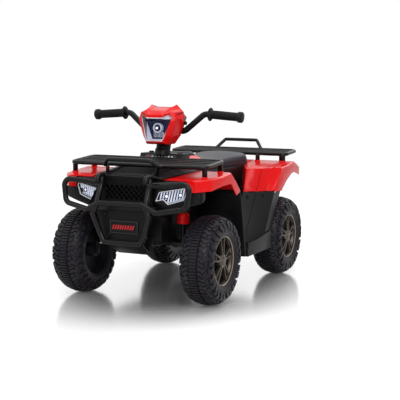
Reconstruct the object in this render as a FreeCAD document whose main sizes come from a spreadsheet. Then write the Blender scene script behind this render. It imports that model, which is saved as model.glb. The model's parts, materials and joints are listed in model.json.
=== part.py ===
# Kids' ride-on electric quad bike, modelled as its separate pieces.
# Millimetres, +Z up. The quad faces -Y, so its left side is +X. The origin lies on the floor,
# under the middle of its length.
import FreeCAD
import Part
import Sketcher
import math
import os
import re
from FreeCAD import Placement, Rotation, Vector

# Driving dimensions. Lengths along Y count from the front axle or the rear axle, as their words say.
SIZES = {
    # layout
    "overall_length": 1075, "front_overhang": 197.5, "wheelbase": 655, "track": 500,
    "wheel_diameter": 310, "tyre_width": 116, "fit_gap": 0.3, "run_gap": 0.05,
    # wheels
    "tread_height": 4, "tyre_wall": 3, "bead_radius": 86, "dish_radius": 82, "web_inset": 43,
    "hub_radius": 22, "hub_inset": 13.5, "cover_recess": 30, "belly_part": 0.384615385,
    "shoulder_part": 0.415384615, "lug_count": 18, "lug_relief": 3, "lug_angle": 12,
    "rib_count": 54, "rib_band": 27, "rib_width": 5, "axle_diameter": 12, "axle_end_inset": 14,
    "cover_plate": 5, "cover_depth": 21, "cover_rim": 9, "cap_radius": 23, "cap_front": 4,
    "nut_room": 16.5, "spoke_depth": 11, "spoke_count": 5, "spoke_width": 9, "spoke_spread": 13,
    "nut_radius": 10, "nut_length": 9,
    # chassis tub and centre body
    "tub_width": 210, "tub_wall": 3, "ground_clearance": 165, "tub_rim": 300, "tub_front_reach": 90,
    "tub_back_reach": 85, "tub_chin": 222, "chin_reach": 60, "front_floor_back": 115,
    "low_floor_front": 155, "low_floor_back": 100, "axle_keel": 26, "axle_keel_half": 45, "tub_tail": 190,
    "beam_rise": 53,
    "body_wall": 3, "seat_base": 432, "seat_front": 278, "seat_back": 55, "tank_back": 265,
    "tower_height": 318, "tower_thick": 12, "tower_reach": 60, "tower_width": 40,
    # bonnet, grille and nose
    "bonnet_reach": 142, "bonnet_length": 242, "bonnet_front_top": 443, "bonnet_back_top": 476,
    "bonnet_flat": 108, "bonnet_front_half": 132, "bonnet_back_half": 165, "bonnet_wall": 3,
    "grille_half": 98, "grille_bottom": 345, "grille_thick": 10, "grille_margin": 14,
    "mesh_pitch": 19, "mesh_rows": 3, "mesh_columns": 9, "mesh_bar": 4, "grille_brow": 28,
    "nose_wall": 5, "nose_front": 158, "nose_lip": 325, "nose_chin": 235, "skid_front": 167,
    "skid_front_height": 212, "skid_drop": 94, "skid_low": 170.7, "nose_top_half": 111,
    "skid_half": 58, "plate_width": 108, "plate_height": 46, "plate_thick": 5, "plate_centre": 272,
    # front mudguards: stations by distance from the front axle, then half width, top and edge heights
    "guard_wall": 3.5, "guard_nose_reach": 121, "guard_nose_half": 243, "guard_nose_top": 437,
    "guard_nose_edge": 397, "guard_lip": 214, "guard_lip_low": 397,
    "guard_corner_reach": 72, "guard_corner_half": 282, "guard_corner_top": 440,
    "guard_corner_edge": 400, "guard_mid_half": 292, "guard_mid_top": 445, "guard_mid_edge": 412,
    "guard_shoulder_back": 78, "guard_shoulder_half": 290, "guard_shoulder_top": 452,
    "guard_shoulder_edge": 413, "guard_fall_back": 130, "guard_fall_half": 289, "guard_fall_top": 415,
    "guard_fall_edge": 368, "guard_tail_back": 171, "guard_tail_half": 286, "guard_tail_top": 384,
    "guard_tail_edge": 377, "boss_radius": 11,
    # headlights
    "lamp_inner": 98.6, "lamp_front": 138, "lamp_yaw": 12, "lamp_width": 136, "lamp_bottom": 346,
    "lamp_depth": 40, "lamp_keel": 12, "lamp_cheek": 24, "cheek_top": 396, "lens_wall": 3, "lens_recess": 5,
    "lens_inner": 19, "lens_outer": 110, "lens_top_inner": 395, "lens_top_outer": 410.5, "lens_tip": 116,
    "lens_tip_height": 403, "lens_corner": 103, "lens_corner_height": 369, "lens_keel": 49,
    "lens_keel_height": 353, "lens_notch": 32, "lens_notch_height": 369.5, "lens_hook": 6,
    "lens_hook_height": 363, "reflector_depth": 8,
    "lamp_rib": 5, "lamp_rib_pitch": 14,
    # bumper
    "bumper_tube": 19, "bumper_reach": 180, "bumper_bend": 22, "loop_outer": 242, "loop_top": 428,
    "loop_sweep": 26,
    "loop_low_outer": 230, "loop_low": 345, "loop_dip": 130, "dip_height": 329, "hump_half": 84,
    "hump_height": 354, "upright_half": 92, "upright_top": 440, "hoop_half": 107, "hoop_waist": 85,
    "hoop_waist_height": 249, "hoop_foot": 69, "hoop_foot_height": 220,
    # racks
    "rack_tube": 15, "rack_bend": 20, "front_rack_low": 477, "front_rack_high": 488,
    "rear_rack_low": 475, "rear_rack_high": 483, "front_rack_half": 260,
    "front_rack_reach": 72, "front_rack_back": 77, "front_rack_bars": 3, "front_hoop_half": 104,
    "front_hoop_reach": 112, "front_hoop_top": 83, "front_hoop_rise": 20, "front_hoop_lean": 17,
    "post_half": 252, "post_front_reach": 62, "post_back": 68, "boss_top": 456, "boss_front_top": 446,
    "rack_post": 9, "centre_post_half": 96,
    "centre_post_reach": 104, "rear_rack_half": 256, "rear_rack_front": 66, "rear_rack_back": 187,
    "rear_rack_bars": 2, "rear_hoop_half": 105, "rear_hoop_top": 72, "rear_hoop_rise": 38,
    "rear_hoop_lean": 27, "rear_post_half": 246, "rear_post_inner": 135, "rear_post_back": 152,
    "rear_post_far": 206,
    "rear_boss_top": 449, "rear_boss_low": 441,
    # dash, tank and seat
    "dash_half": 84, "dash_height": 33, "dash_depth": 74, "dash_slope": 14, "dash_wall": 4,
    "collar_radius": 29, "collar_top": 339.5, "tank_half": 92, "tank_top_half": 62, "tank_height": 30,
    "seat_half_front": 62, "seat_half_back": 103, "seat_front_top": 484, "seat_dip": 471,
    "seat_back_top": 479, "seat_crown": 5, "seat_mid": 150, "seat_edge": 16, "seat_wall": 4, "tank_wall": 3,
    # leg shields, footboards and rear leg panels
    "shield_wall": 4, "shield_top_back": 181, "shield_low_back": 236, "shield_half": 282,
    "board_half": 292, "board_top": 162, "board_bottom": 132, "board_wall": 4, "board_back": 180,
    "board_lip": 5.5, "lip_front": 180, "lip_middle": 184, "lip_back": 201, "lip_bend": 310,
    "panel_half": 286,
    "panel_wall": 4, "panel_inner": 185, "panel_low_inner": 325, "panel_low_outer": 255,
    "panel_low_clear": 48, "panel_top_clear": 192.5,
    "panel_top_inner": 208, "panel_crease": 226, "panel_crease_top": 190, "panel_top_outer": 139,
    "panel_top": 345, "arch_gap": 16, "plug_radius": 6, "plug_depth": 3,
    # rear mudguards: distances along Y from the rear axle
    "rear_guard_half": 290, "nook_low": 36, "nook_top": 10, "rear_guard_top": 432, "rear_top_inner": 178,
    "rear_top_crease": 150,
    "rear_top_outer": 62, "tail_top_back": 108, "tail_top": 446, "tail_back": 191, "tail_low_top": 424,
    "tail_tip_back": 222, "tail_tip": 381, "tail_half": 262, "arch_low": 341, "arch_front": 67,
    "arch_mid": 378, "arch_mid_back": 8, "arch_high": 400, "arch_high_back": 60, "tail_panel_drop": 96,
    # running gear
    "beam_width": 20, "beam_height": 12, "beam_half": 168, "kingpin_half": 185, "kingpin_radius": 5,
    "boss_eye": 12, "lug_thick": 8, "knuckle_web": 6.9, "arm_length": 52, "arm_width": 16, "arm_pin": 4,
    "bolt_head": 6, "crank_length": 31.6, "crank_thick": 8, "crank_drop": 6, "tie_width": 28, "tie_thick": 6,
    "slot_play": 2.2, "slot_travel": 7, "shock_half": 144, "shock_radius": 21, "shock_length": 44,
    "shock_rod": 8, "shock_cap": 12, "drive_casing": 72, "drive_radius": 30, "motor_rise": 62,
    "motor_radius": 19, "motor_length": 62, "battery_length": 151, "battery_width": 65,
    "battery_height": 95, "battery_front": 60, "control_length": 90, "control_width": 70,
    "control_height": 34, "control_front": 180, "socket_radius": 9, "socket_flange": 13,
    "socket_height": 385, "socket_back": 330, "socket_bore": 3.2, "socket_depth": 24,
    # steering
    "caster": 18.87, "column_foot_back": 18, "column_foot": 196, "column_diameter": 12, "column_top": 401.3,
    "bush_radius": 10, "bush_length": 16, "eye_radius": 15, "bar_diameter": 22, "bar_wall": 2,
    "bar_bend": 32, "bar_flat": 76, "bar_knee": 150, "bar_rise": 63, "bar_sweep": 7, "bar_end": 292,
    "grip_droop": 4, "grip_start": 170, "grip_length": 116, "grip_radius": 15, "grip_flange": 24,
    "grip_end_flange": 19.5, "grip_end_wall": 4, "pod_wall": 3,
    # lamp pod: three sections by distance behind the front axle, each with half widths and heights
    "pod_nose": 56, "pod_nose_foot_half": 32, "pod_nose_foot": 548, "pod_nose_low_half": 34,
    "pod_nose_low": 570, "pod_nose_wide_half": 37, "pod_nose_wide": 620, "pod_nose_brow_half": 35,
    "pod_nose_brow": 641, "pod_nose_top_half": 26, "pod_nose_top": 646,
    "pod_nose_dip_half": 14, "pod_nose_dip": 645,
    "pod_cheek": 82, "pod_cheek_foot_half": 42, "pod_cheek_foot": 540, "pod_cheek_low_half": 57,
    "pod_cheek_low": 570, "pod_cheek_wide_half": 74, "pod_cheek_wide": 628, "pod_cheek_brow_half": 66,
    "pod_cheek_brow": 654, "pod_cheek_top_half": 38, "pod_cheek_top": 664,
    "pod_cheek_dip_half": 28, "pod_cheek_dip": 660,
    "pod_back": 137, "pod_back_foot_half": 44, "pod_back_foot": 541, "pod_back_low_half": 67,
    "pod_back_low": 573, "pod_back_wide_half": 83, "pod_back_wide": 636, "pod_back_brow_half": 75,
    "pod_back_brow": 659, "pod_back_top_half": 50, "pod_back_top": 682,
    "pod_back_dip_half": 38, "pod_back_dip": 673,
    "pod_cover_depth": 46, "pod_cover_shrink": 15, "pod_lens_foot_half": 31, "pod_lens_foot": 553,
    "pod_lens_half": 62, "pod_lens_side": 638, "pod_lens_horn_half": 50, "pod_lens_horn": 645,
    "pod_lens_notch_half": 28, "pod_lens_notch": 634, "pod_lens_depth": 27, "pod_projector": 15,
    "pod_projector_height": 592,
    "neck_half": 32,
    "neck_depth": 40,
    # controls
    "pedal_width": 62, "pedal_length": 78, "pedal_thick": 8, "pedal_tilt": 14, "pedal_centre": 190,
    "pedal_back": 315, "pedal_pin": 3, "pedal_lug": 6, "pedal_pin_rise": 9, "button_radius": 9,
    "button_travel": 3, "button_rise": 6, "button_offset": 58, "rocker_width": 14, "rocker_length": 24,
    "rocker_rise": 5, "horn_radius": 6.5, "horn_rise": 9, "horn_height": 615,
}

# Places that several pieces share, as formulas of the driving dimensions.
FRONT_Y = "(front_overhang - overall_length / 2)"
REAR_Y = f"({FRONT_Y} + wheelbase)"
AXLE_Z = "(wheel_diameter / 2)"
SIDE = "(tub_width / 2)"
BESIDE = "(tub_width / 2 + fit_gap)"
FRONT_FLOOR = f"({AXLE_Z} + beam_rise)"
BONNET_FRONT = f"({FRONT_Y} - bonnet_reach)"
BONNET_BACK = f"({BONNET_FRONT} + bonnet_length)"
BONNET_SLOPE = "((bonnet_back_top - bonnet_front_top) / bonnet_length)"
BODY_TOP = "(bonnet_back_top - bonnet_wall - fit_gap)"
DASH_FRONT = BONNET_BACK
DASH_BACK = f"({DASH_FRONT} + dash_depth)"
TANK_BACK = f"({FRONT_Y} + tank_back)"
SEAT_FRONT = f"({FRONT_Y} + seat_front)"
SEAT_BACK = f"({REAR_Y} + seat_back)"
NOSE_FRONT = f"({FRONT_Y} - nose_front)"
BUMPER_Y = f"({FRONT_Y} - bumper_reach)"
COLUMN_Y = f"({FRONT_Y} + column_foot_back)"
BOSS_FOOT = f"(({FRONT_FLOOR} + 1 - column_foot) / cos(caster))"

doc = FreeCAD.newDocument("kids_quad_bike")
sheet = doc.addObject("Spreadsheet::Sheet", "sizes")
for row, (alias, value) in enumerate(SIZES.items(), start=1):
    sheet.set(f"A{row}", alias)
    sheet.set(f"B{row}", str(value))
    sheet.setAlias(f"B{row}", alias)
doc.recompute()

nodes = {}


def cell(formula):
    """A formula of plain size names, written as an expression on the sheet."""
    return re.sub(r"[a-z_]+", lambda m: f"sizes.{m[0]}" if m[0] in SIZES else m[0], str(formula))


def val(formula):
    """The present value of a formula."""
    return float(sheet.evalExpression(cell(formula)))


def bind(thing, **formulas):
    """Binds properties to the sheet; x, y and z are the thing's place."""
    for name, formula in formulas.items():
        path = f"Placement.Base.{name}" if name in "xyz" else name
        thing.setExpression(path, cell(formula))
    return thing


def new(kind, label=None):
    """A document object, which is a sub-part of the model when it has a label."""
    thing = doc.addObject(kind, label or "piece")
    if label:
        thing.Label = label
        nodes[label] = thing
    return thing


def body(label=None):
    return new("PartDesign::Body", label)


def minus(formula):
    return f"-({formula})"


def fix_point(sketch, geometry, end, point):
    """Holds one point of a sketch at two formulas."""
    for kind, formula in zip(("DistanceX", "DistanceY"), point):
        rule = sketch.addConstraint(Sketcher.Constraint(kind, -1, 1, geometry, end, val(formula)))
        sketch.setExpression(f"Constraints[{rule}]", cell(formula))


def draw_loop(sketch, points):
    """A closed outline of straight lines through the points."""
    ends = [Vector(val(across), val(up), 0) for across, up in points]
    lines = []
    for start, end in zip(ends, ends[1:] + ends[:1]):
        lines.append(sketch.addGeometry(Part.LineSegment(start, end), False))
    for line, after in zip(lines, lines[1:] + lines[:1]):
        sketch.addConstraint(Sketcher.Constraint("Coincident", line, 2, after, 1))
    for line, point in zip(lines, points):
        fix_point(sketch, line, 1, point)


def draw_ring(sketch, across, up, radius):
    """A circle about a point."""
    circle = Part.Circle(Vector(val(across), val(up), 0), Vector(0, 0, 1), val(radius))
    ring = sketch.addGeometry(circle, False)
    fix_point(sketch, ring, 3, (across, up))
    rule = sketch.addConstraint(Sketcher.Constraint("Radius", ring, val(radius)))
    sketch.setExpression(f"Constraints[{rule}]", cell(radius))


def sketch_on(owner, plane, place, *shapes):
    """A sketch on one of the body's planes, moved to a place along that plane's axis."""
    sketch = owner.newObject("Sketcher::SketchObject", "outline")
    base = next(f for f in owner.Origin.OriginFeatures if f.Role == f"{plane}_Plane")
    sketch.AttachmentSupport = (base, "")
    sketch.MapMode = "FlatFace"
    offset = minus(place) if plane == "XZ" else place
    sketch.setExpression("AttachmentOffset.Base.z", cell(offset))
    for shape in shapes:
        if isinstance(shape, tuple):
            draw_ring(sketch, *shape)
        else:
            draw_loop(sketch, shape)
    return sketch


def prism(kind, owner, plane, start, end, shapes):
    """A pad or pocket from start to end along the plane's axis."""
    foot = end if plane == "XZ" else start
    feature = owner.newObject(f"PartDesign::{kind}", kind.lower())
    feature.Profile = sketch_on(owner, plane, foot, *shapes)
    feature.Reversed = kind == "Pocket"
    feature.setExpression("Length", cell(f"({end}) - ({start})"))
    return feature


def pad(owner, plane, start, end, *shapes):
    return prism("Pad", owner, plane, start, end, shapes)


def pocket(owner, plane, start, end, *shapes):
    return prism("Pocket", owner, plane, start, end, shapes)


def loft(owner, plane, sections, kind="AdditiveLoft"):
    """A straight-ruled loft through (place, points) sections."""
    feature = owner.newObject(f"PartDesign::{kind}", "loft")
    sketches = [sketch_on(owner, plane, place, points) for place, points in sections]
    feature.Profile = sketches[0]
    feature.Sections = sketches[1:]
    feature.Ruled = True
    return feature


def revolve(owner, *loops):
    """Turns outlines drawn as (along X, radius) about the body's X axis."""
    feature = owner.newObject("PartDesign::Revolution", "turning")
    feature.Profile = sketch_on(owner, "XZ", "0", *loops)
    feature.ReferenceAxis = (feature.Profile[0], ["H_Axis"])
    feature.Angle = 360
    return feature


def around_x(owner, features, count):
    """Repeats features about the body's X axis."""
    pattern = owner.newObject("PartDesign::PolarPattern", "pattern")
    axis = next(f for f in owner.Origin.OriginFeatures if f.Role == "X_Axis")
    pattern.Originals = features
    pattern.Axis = (axis, [""])
    pattern.Angle = 360
    pattern.setExpression("Occurrences", cell(count))
    owner.Tip = pattern
    return pattern


def sheet_loop(points, across, up):
    """The outline of a bent sheet: its outer line, then the same line shifted by the wall."""
    inner = [(f"{a} + ({across})", f"{b} + ({up})") for a, b in points]
    return points + inner[::-1]


def box(x, y, z, label=None):
    """A block between pairs of formulas."""
    block = new("Part::Box", label)
    for name, (low, high) in zip(("Length", "Width", "Height"), (x, y, z)):
        block.setExpression(name, cell(f"({high}) - ({low})"))
    return bind(block, x=x[0], y=y[0], z=z[0])


TURNS = {"X": Rotation(Vector(0, 1, 0), 90), "Y": Rotation(Vector(1, 0, 0), -90), "Z": Rotation()}


def rod(axis, radius, length, x, y, z, label=None):
    """A round bar from a point along +X, +Y or +Z."""
    bar = new("Part::Cylinder", label)
    bar.Placement = Placement(Vector(), TURNS[axis])
    return bind(bar, Radius=radius, Height=length, x=x, y=y, z=z)


def fuse(label, *pieces):
    joined = new("Part::MultiFuse", label)
    joined.Shapes = list(pieces)
    return joined


def cut(label, base, tool):
    result = new("Part::Cut", label)
    result.Base = base
    result.Tool = tool
    return result


def mirror(source, label=None):
    """The same piece on the other side of the quad."""
    copy = new("Part::Mirroring", label)
    copy.Source = source
    copy.Normal = Vector(1, 0, 0)
    return copy


def group(label, *pieces):
    """Like pieces that stay separate solids in one node."""
    together = new("Part::Compound", label)
    together.Links = list(pieces)
    return together


def both_sides(label, piece):
    return group(label, piece, mirror(piece))


def point(x, y, z):
    return Vector(val(x), val(y), val(z))


def bent_path(points, radius, closed=False):
    """A wire of straight runs with an arc at each corner."""
    count = len(points)
    corners = range(count) if closed else range(1, count - 1)
    starts, ends, arcs = {}, {}, {}
    for i in corners:
        here = points[i]
        back = (points[i - 1] - here).normalize()
        on = (points[(i + 1) % count] - here).normalize()
        half = back.getAngle(on) / 2
        reach = radius / math.tan(half)
        bisector = (back + on).normalize()
        middle = here + bisector * (radius / math.sin(half) - radius)
        ends[i] = here + back * reach
        starts[i] = here + on * reach
        arcs[i] = Part.Arc(ends[i], middle, starts[i]).toShape()
    edges = []
    for i in range(count if closed else count - 1):
        after = (i + 1) % count
        edges.append(Part.LineSegment(starts.get(i, points[i]), ends.get(after, points[after])).toShape())
        if after in arcs:
            edges.append(arcs[after])
    return Part.Wire(edges)


def tube(points, radius, bend, closed=False):
    """A round tube along a bent path; its radius is bound to the sheet."""
    path = new("Part::Feature")
    path.Shape = bent_path(points, val(bend), closed)
    first = path.Shape.Edges[0]
    ring = new("Part::Circle")
    ring.setExpression("Radius", cell(radius))
    middle = first.valueAt((first.FirstParameter + first.LastParameter) / 2)
    seat = middle if closed else first.valueAt(first.FirstParameter)
    ring.Placement = Placement(seat, Rotation(Vector(0, 0, 1), first.tangentAt(first.FirstParameter)))
    sweep = new("Part::Sweep")
    sweep.Sections = [ring]
    sweep.Spine = (path, [f"Edge{i + 1}" for i in range(len(path.Shape.Edges))])
    sweep.Solid = True
    return sweep


def mirrored_points(half):
    """A run of points on the left, then its mirror image in reverse, as one path across the middle."""
    return half + [Vector(-p.x, p.y, p.z) for p in reversed(half)]


def on_column(thing):
    """Puts a thing made along +Z onto the raked steering axis."""
    thing.Placement = Placement(Vector(), Rotation(Vector(-1, 0, 0), val("caster")))
    return bind(thing, y=COLUMN_Y, z="column_foot")


def column_rod(radius, start, length):
    """A round bar on the steering axis, from a distance above the column's foot."""
    bar = new("Part::Cylinder")
    bar.Placement = Placement(Vector(0, 0, 0), Rotation())
    bind(bar, Radius=radius, Height=length, z=start)
    moved = new("Part::Compound")
    moved.Links = [bar]
    return on_column(moved)


# Wheels


def tyre_master():
    """A hollow blow-moulded wheel about X, its outer side at +X."""
    half = "tyre_width / 2"
    crown = "wheel_diameter / 2 - tread_height"
    bore = "axle_diameter / 2 + run_gap"
    face = f"{half} - cover_recess"
    web = f"-{half} + web_inset"
    hub = f"-{half} + hub_inset"
    wall = "tyre_wall"
    owner = body()
    # the tyre's section height is shared out between the shoulder, the belly and the bead
    section = f"({crown} - bead_radius)"
    belly = f"{section} * belly_part"
    # the outline of one shoulder as shares of the half width and of its drop below the crown
    drops = (("0.29", "0"), ("0.59", "0.15"), ("0.81", "0.52"), ("0.95", "1"))
    shoulder = [(f"{half} * {share}", f"{crown} - {section} * shoulder_part * {drop}")
                for share, drop in drops]
    side = shoulder + [(half, f"bead_radius + {belly}"), (f"{half} - 1", f"bead_radius + {belly} * 0.6")]
    inner_side = [(minus(x), radius) for x, radius in reversed(side)]
    outer = [(hub, bore), (hub, "hub_radius"), (web, "hub_radius + 2"), (web, "dish_radius"),
             (f"-{half} + 6", "dish_radius + 4")]
    outer += inner_side + side
    outer += [(f"{half} - 6", "bead_radius + 5"), (f"{half} - 8", "bead_radius"), (face, "bead_radius"),
              (face, bore)]
    slim = f"(1 - {wall} / ({half}))"
    thin = [(f"({x}) * {slim}", f"{radius} - {wall} * {part}")
            for (x, radius), part in zip(side, ("1", "1", "0.8", "0.4", "0", "0"))]
    hollow = [(f"{web} + {wall}", f"hub_radius + {wall} + 2"),
              (f"{web} + {wall}", f"dish_radius + {wall} + 2"),
              (f"-{half} + 7 + {wall}", f"dish_radius + {wall} + 6")]
    hollow += [(minus(x), radius) for x, radius in reversed(thin)] + thin
    hollow += [(f"{half} - 8 - {wall}", f"bead_radius + {wall} + 3"),
               (f"{face} - {wall}", f"bead_radius + {wall} + 3"),
               (f"{face} - {wall}", f"hub_radius + {wall} + 2")]
    revolve(owner, outer, hollow)
    lugs = []
    for sign in ("1", "-1"):
        low = [(f"{sign} * ({x})", f"{radius} - 1") for x, radius in shoulder]
        reliefs = zip(shoulder, ("0", "0.3", "0.5", "0.5"), ("0.8", "1", "0.9", "0.8"))
        high = [(f"{sign} * ({x} + lug_relief * {part})", f"{radius} + lug_relief * {rise}")
                for (x, radius), part, rise in reliefs]
        lug = revolve(owner, low + high[::-1])
        lug.Angle = val("lug_angle")
        lug.setExpression("Angle", cell("lug_angle"))
        lug.Reversed = sign == "-1"
        lugs.append(lug)
    around_x(owner, lugs, "lug_count")
    top = "wheel_diameter / 2"
    rib = [("-rib_band / 2", "-rib_width / 2"), ("rib_band / 2", "-rib_width / 2"),
           ("rib_band / 2", "rib_width / 2"), ("-rib_band / 2", "rib_width / 2")]
    ribs = pad(owner, "XY", f"-({top})", f"-({crown} - 2)", rib)
    around_x(owner, [ribs], "rib_count")
    return owner


def cover_master():
    """A spoked wheel cover about X that clips into the tyre's outer recess."""
    back = "tyre_width / 2 - cover_recess"
    front = f"{back} + cover_depth"
    plate = f"{back} + cover_plate"
    rim = "bead_radius - fit_gap"
    owner = body()
    revolve(owner, [
        (back, "nut_room"), (back, rim), (front, rim), (front, f"{rim} - cover_rim"),
        (plate, f"{rim} - cover_rim - 3"), (plate, "cap_radius + 3"), (f"{front} + 1", "cap_radius - 2"),
        (f"{front} + 1", "0"), (f"{front} + 1 - cap_front", "0"), (f"{front} + 1 - cap_front", "nut_room"),
    ])
    spokes = []
    for side in ("1", "-1"):
        foot = f"{side} * spoke_width / 2"
        tip = f"{side} * spoke_spread"
        arm = [(f"{foot} - spoke_width / 2", "cap_radius - 2"),
               (f"{foot} + spoke_width / 2", "cap_radius - 2"),
               (f"{tip} + spoke_width / 2", f"{rim} - cover_rim + 2"),
               (f"{tip} - spoke_width / 2", f"{rim} - cover_rim + 2")]
        spokes.append(pad(owner, "YZ", f"{plate} - 1", f"{plate} + spoke_depth", arm))
    around_x(owner, spokes, "spoke_count")
    return owner


WHEELS = {
    "front_left": ("1", FRONT_Y), "front_right": ("-1", FRONT_Y),
    "rear_left": ("1", REAR_Y), "rear_right": ("-1", REAR_Y),
}


def make_wheels():
    """The same wheel four times; the right ones are turned about, not mirrored."""
    masters = {"tyre": tyre_master(), "wheel_cover": cover_master()}
    for corner, (side, y) in WHEELS.items():
        for name, master in masters.items():
            copy = group(f"{name}_{corner}", master)
            copy.Placement = Placement(Vector(), Rotation(Vector(0, 0, 1), 0 if side == "1" else 180))
            bind(copy, x=f"{side} * track / 2", y=y, z=AXLE_Z)


def nut(x, y, sign):
    """A flanged nut on an axle end, just clear of the wheel's hub."""
    owner = body()
    start = "tyre_width / 2 - cover_recess + fit_gap"
    revolve(owner, [
        (start, "axle_diameter / 2 + run_gap"), (start, "nut_radius + 3"), (f"{start} + 2", "nut_radius + 3"),
        (f"{start} + 2", "nut_radius"), (f"{start} + nut_length", "nut_radius"),
        (f"{start} + nut_length", "axle_diameter / 2 + run_gap"),
    ])
    placed = group(None, owner)
    placed.Placement = Placement(Vector(), Rotation(Vector(0, 0, 1), 0 if sign == "1" else 180))
    return bind(placed, x=x, y=y, z=AXLE_Z)


# Chassis


def make_tub():
    """The open lower tub that carries the axles, drive and battery."""
    front = f"({FRONT_Y} - tub_front_reach)"
    back = f"({REAR_Y} + tub_back_reach)"
    chin = f"({FRONT_Y} - chin_reach)"
    step = f"({FRONT_Y} + front_floor_back)"
    low = f"({FRONT_Y} + low_floor_front)"
    rise = f"({REAR_Y} - low_floor_back)"
    keel_front, keel_back = f"({REAR_Y} - axle_keel_half)", f"({REAR_Y} + axle_keel_half)"
    keel = f"({AXLE_Z} - axle_keel)"
    wall = "tub_wall"
    owner = body()
    pad(owner, "YZ", f"-{SIDE}", SIDE, [
        (front, "tub_rim"), (front, "tub_chin"), (chin, FRONT_FLOOR), (step, FRONT_FLOOR),
        (low, "ground_clearance"), (rise, "ground_clearance"), (keel_front, keel), (keel_back, keel),
        (back, "tub_tail"), (back, "tub_rim")])
    pocket(owner, "YZ", f"-{SIDE} + {wall}", f"{SIDE} - {wall}", [
        (f"{front} + {wall}", f"tub_rim + {wall}"), (f"{front} + {wall}", f"tub_chin + {wall} / 2"),
        (f"{chin} + {wall} / 2", f"{FRONT_FLOOR} + {wall}"),
        (f"{step} + {wall} / 2", f"{FRONT_FLOOR} + {wall}"),
        (f"{low} + {wall} / 2", f"ground_clearance + {wall}"),
        (f"{rise} + {wall} / 2", f"ground_clearance + {wall}"),
        (f"{keel_front} + {wall} / 2", f"{keel} + {wall}"),
        (f"{keel_back} - {wall} / 2", f"{keel} + {wall}"),
        (f"{back} - {wall}", f"tub_tail + {wall} / 2"), (f"{back} - {wall}", f"tub_rim + {wall}")])
    pocket(owner, "YZ", f"-{SIDE} - 1", f"{SIDE} + 1", (REAR_Y, AXLE_Z, "axle_diameter / 2 + run_gap"),
           (REAR_Y, f"{AXLE_Z} + motor_rise", "motor_radius + fit_gap"))
    boss = column_rod("eye_radius", BOSS_FOOT, "22")
    bore = column_rod("bush_radius + run_gap", f"{BOSS_FOOT} - 14", "60")
    cut("chassis_tub", fuse(None, owner, boss), bore)


def make_centre_body():
    """The tunnel above the tub: it carries bonnet, dash, tank and seat."""
    front = f"({FRONT_Y} - tub_front_reach)"
    back = f"({REAR_Y} + tub_back_reach)"
    line = f"(bonnet_front_top + {BONNET_SLOPE} * ({front} - {BONNET_FRONT}) - bonnet_wall - fit_gap)"
    wall = "body_wall"
    owner = body()
    pad(owner, "YZ", f"-{SIDE}", SIDE, [
        (front, "tub_rim"), (front, line), (BONNET_BACK, BODY_TOP), (TANK_BACK, BODY_TOP),
        (SEAT_FRONT, "seat_base"), (SEAT_BACK, "seat_base"), (back, "tub_rim")])
    pocket(owner, "YZ", f"-{SIDE} + {wall}", f"{SIDE} - {wall}", [
        (f"{front} + {wall}", f"tub_rim - {wall}"), (f"{front} + {wall}", f"{line} - {wall}"),
        (BONNET_BACK, f"{BODY_TOP} - {wall}"), (f"{TANK_BACK} - {wall}", f"{BODY_TOP} - {wall}"),
        (f"{SEAT_FRONT} - {wall}", f"seat_base - {wall}"),
        (f"{SEAT_BACK} - {wall} / 2", f"seat_base - {wall}"),
        (f"{back} - {wall}", f"tub_rim - {wall}")])
    # the shock towers: one beam above the tub's rim, from which low towers hang down outside the tub
    seat = "max(tower_height; tub_rim)"
    for low, near, far in ((seat, f"-{SIDE} - tower_reach", f"{SIDE} + tower_reach"),
                           ("tower_height", f"{SIDE} + fit_gap", f"{SIDE} + tower_reach"),
                           ("tower_height", f"-{SIDE} - tower_reach", f"-{SIDE} - fit_gap")):
        pad(owner, "YZ", near, far, [
            (f"{FRONT_Y} - tower_width / 2", low), (f"{FRONT_Y} + tower_width / 2", low),
            (f"{FRONT_Y} + tower_width / 2", f"{seat} + tower_thick"),
            (f"{FRONT_Y} - tower_width / 2", f"{seat} + tower_thick")])
    pocket(owner, "YZ", f"-{SIDE} - 1", f"-{SIDE} + {wall} + 1",
           (f"{FRONT_Y} + socket_back", "socket_height", "socket_radius + run_gap"))
    cut("centre_body", owner, column_rod("eye_radius + 3", "100", "260"))


def make_bonnet():
    owner = body("bonnet")
    sections = []
    for y, half, edge, top in (
            (BONNET_BACK, "bonnet_back_half", "guard_shoulder_top + 5", "bonnet_back_top"),
            (BONNET_FRONT, "bonnet_front_half", "guard_nose_top + bonnet_wall", "bonnet_front_top")):
        line = [(f"-{half}", edge), ("-bonnet_flat", top), ("bonnet_flat", top), (half, edge)]
        sections.append((y, sheet_loop(line, "0", "-bonnet_wall")))
    loft(owner, "XZ", sections)


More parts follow.
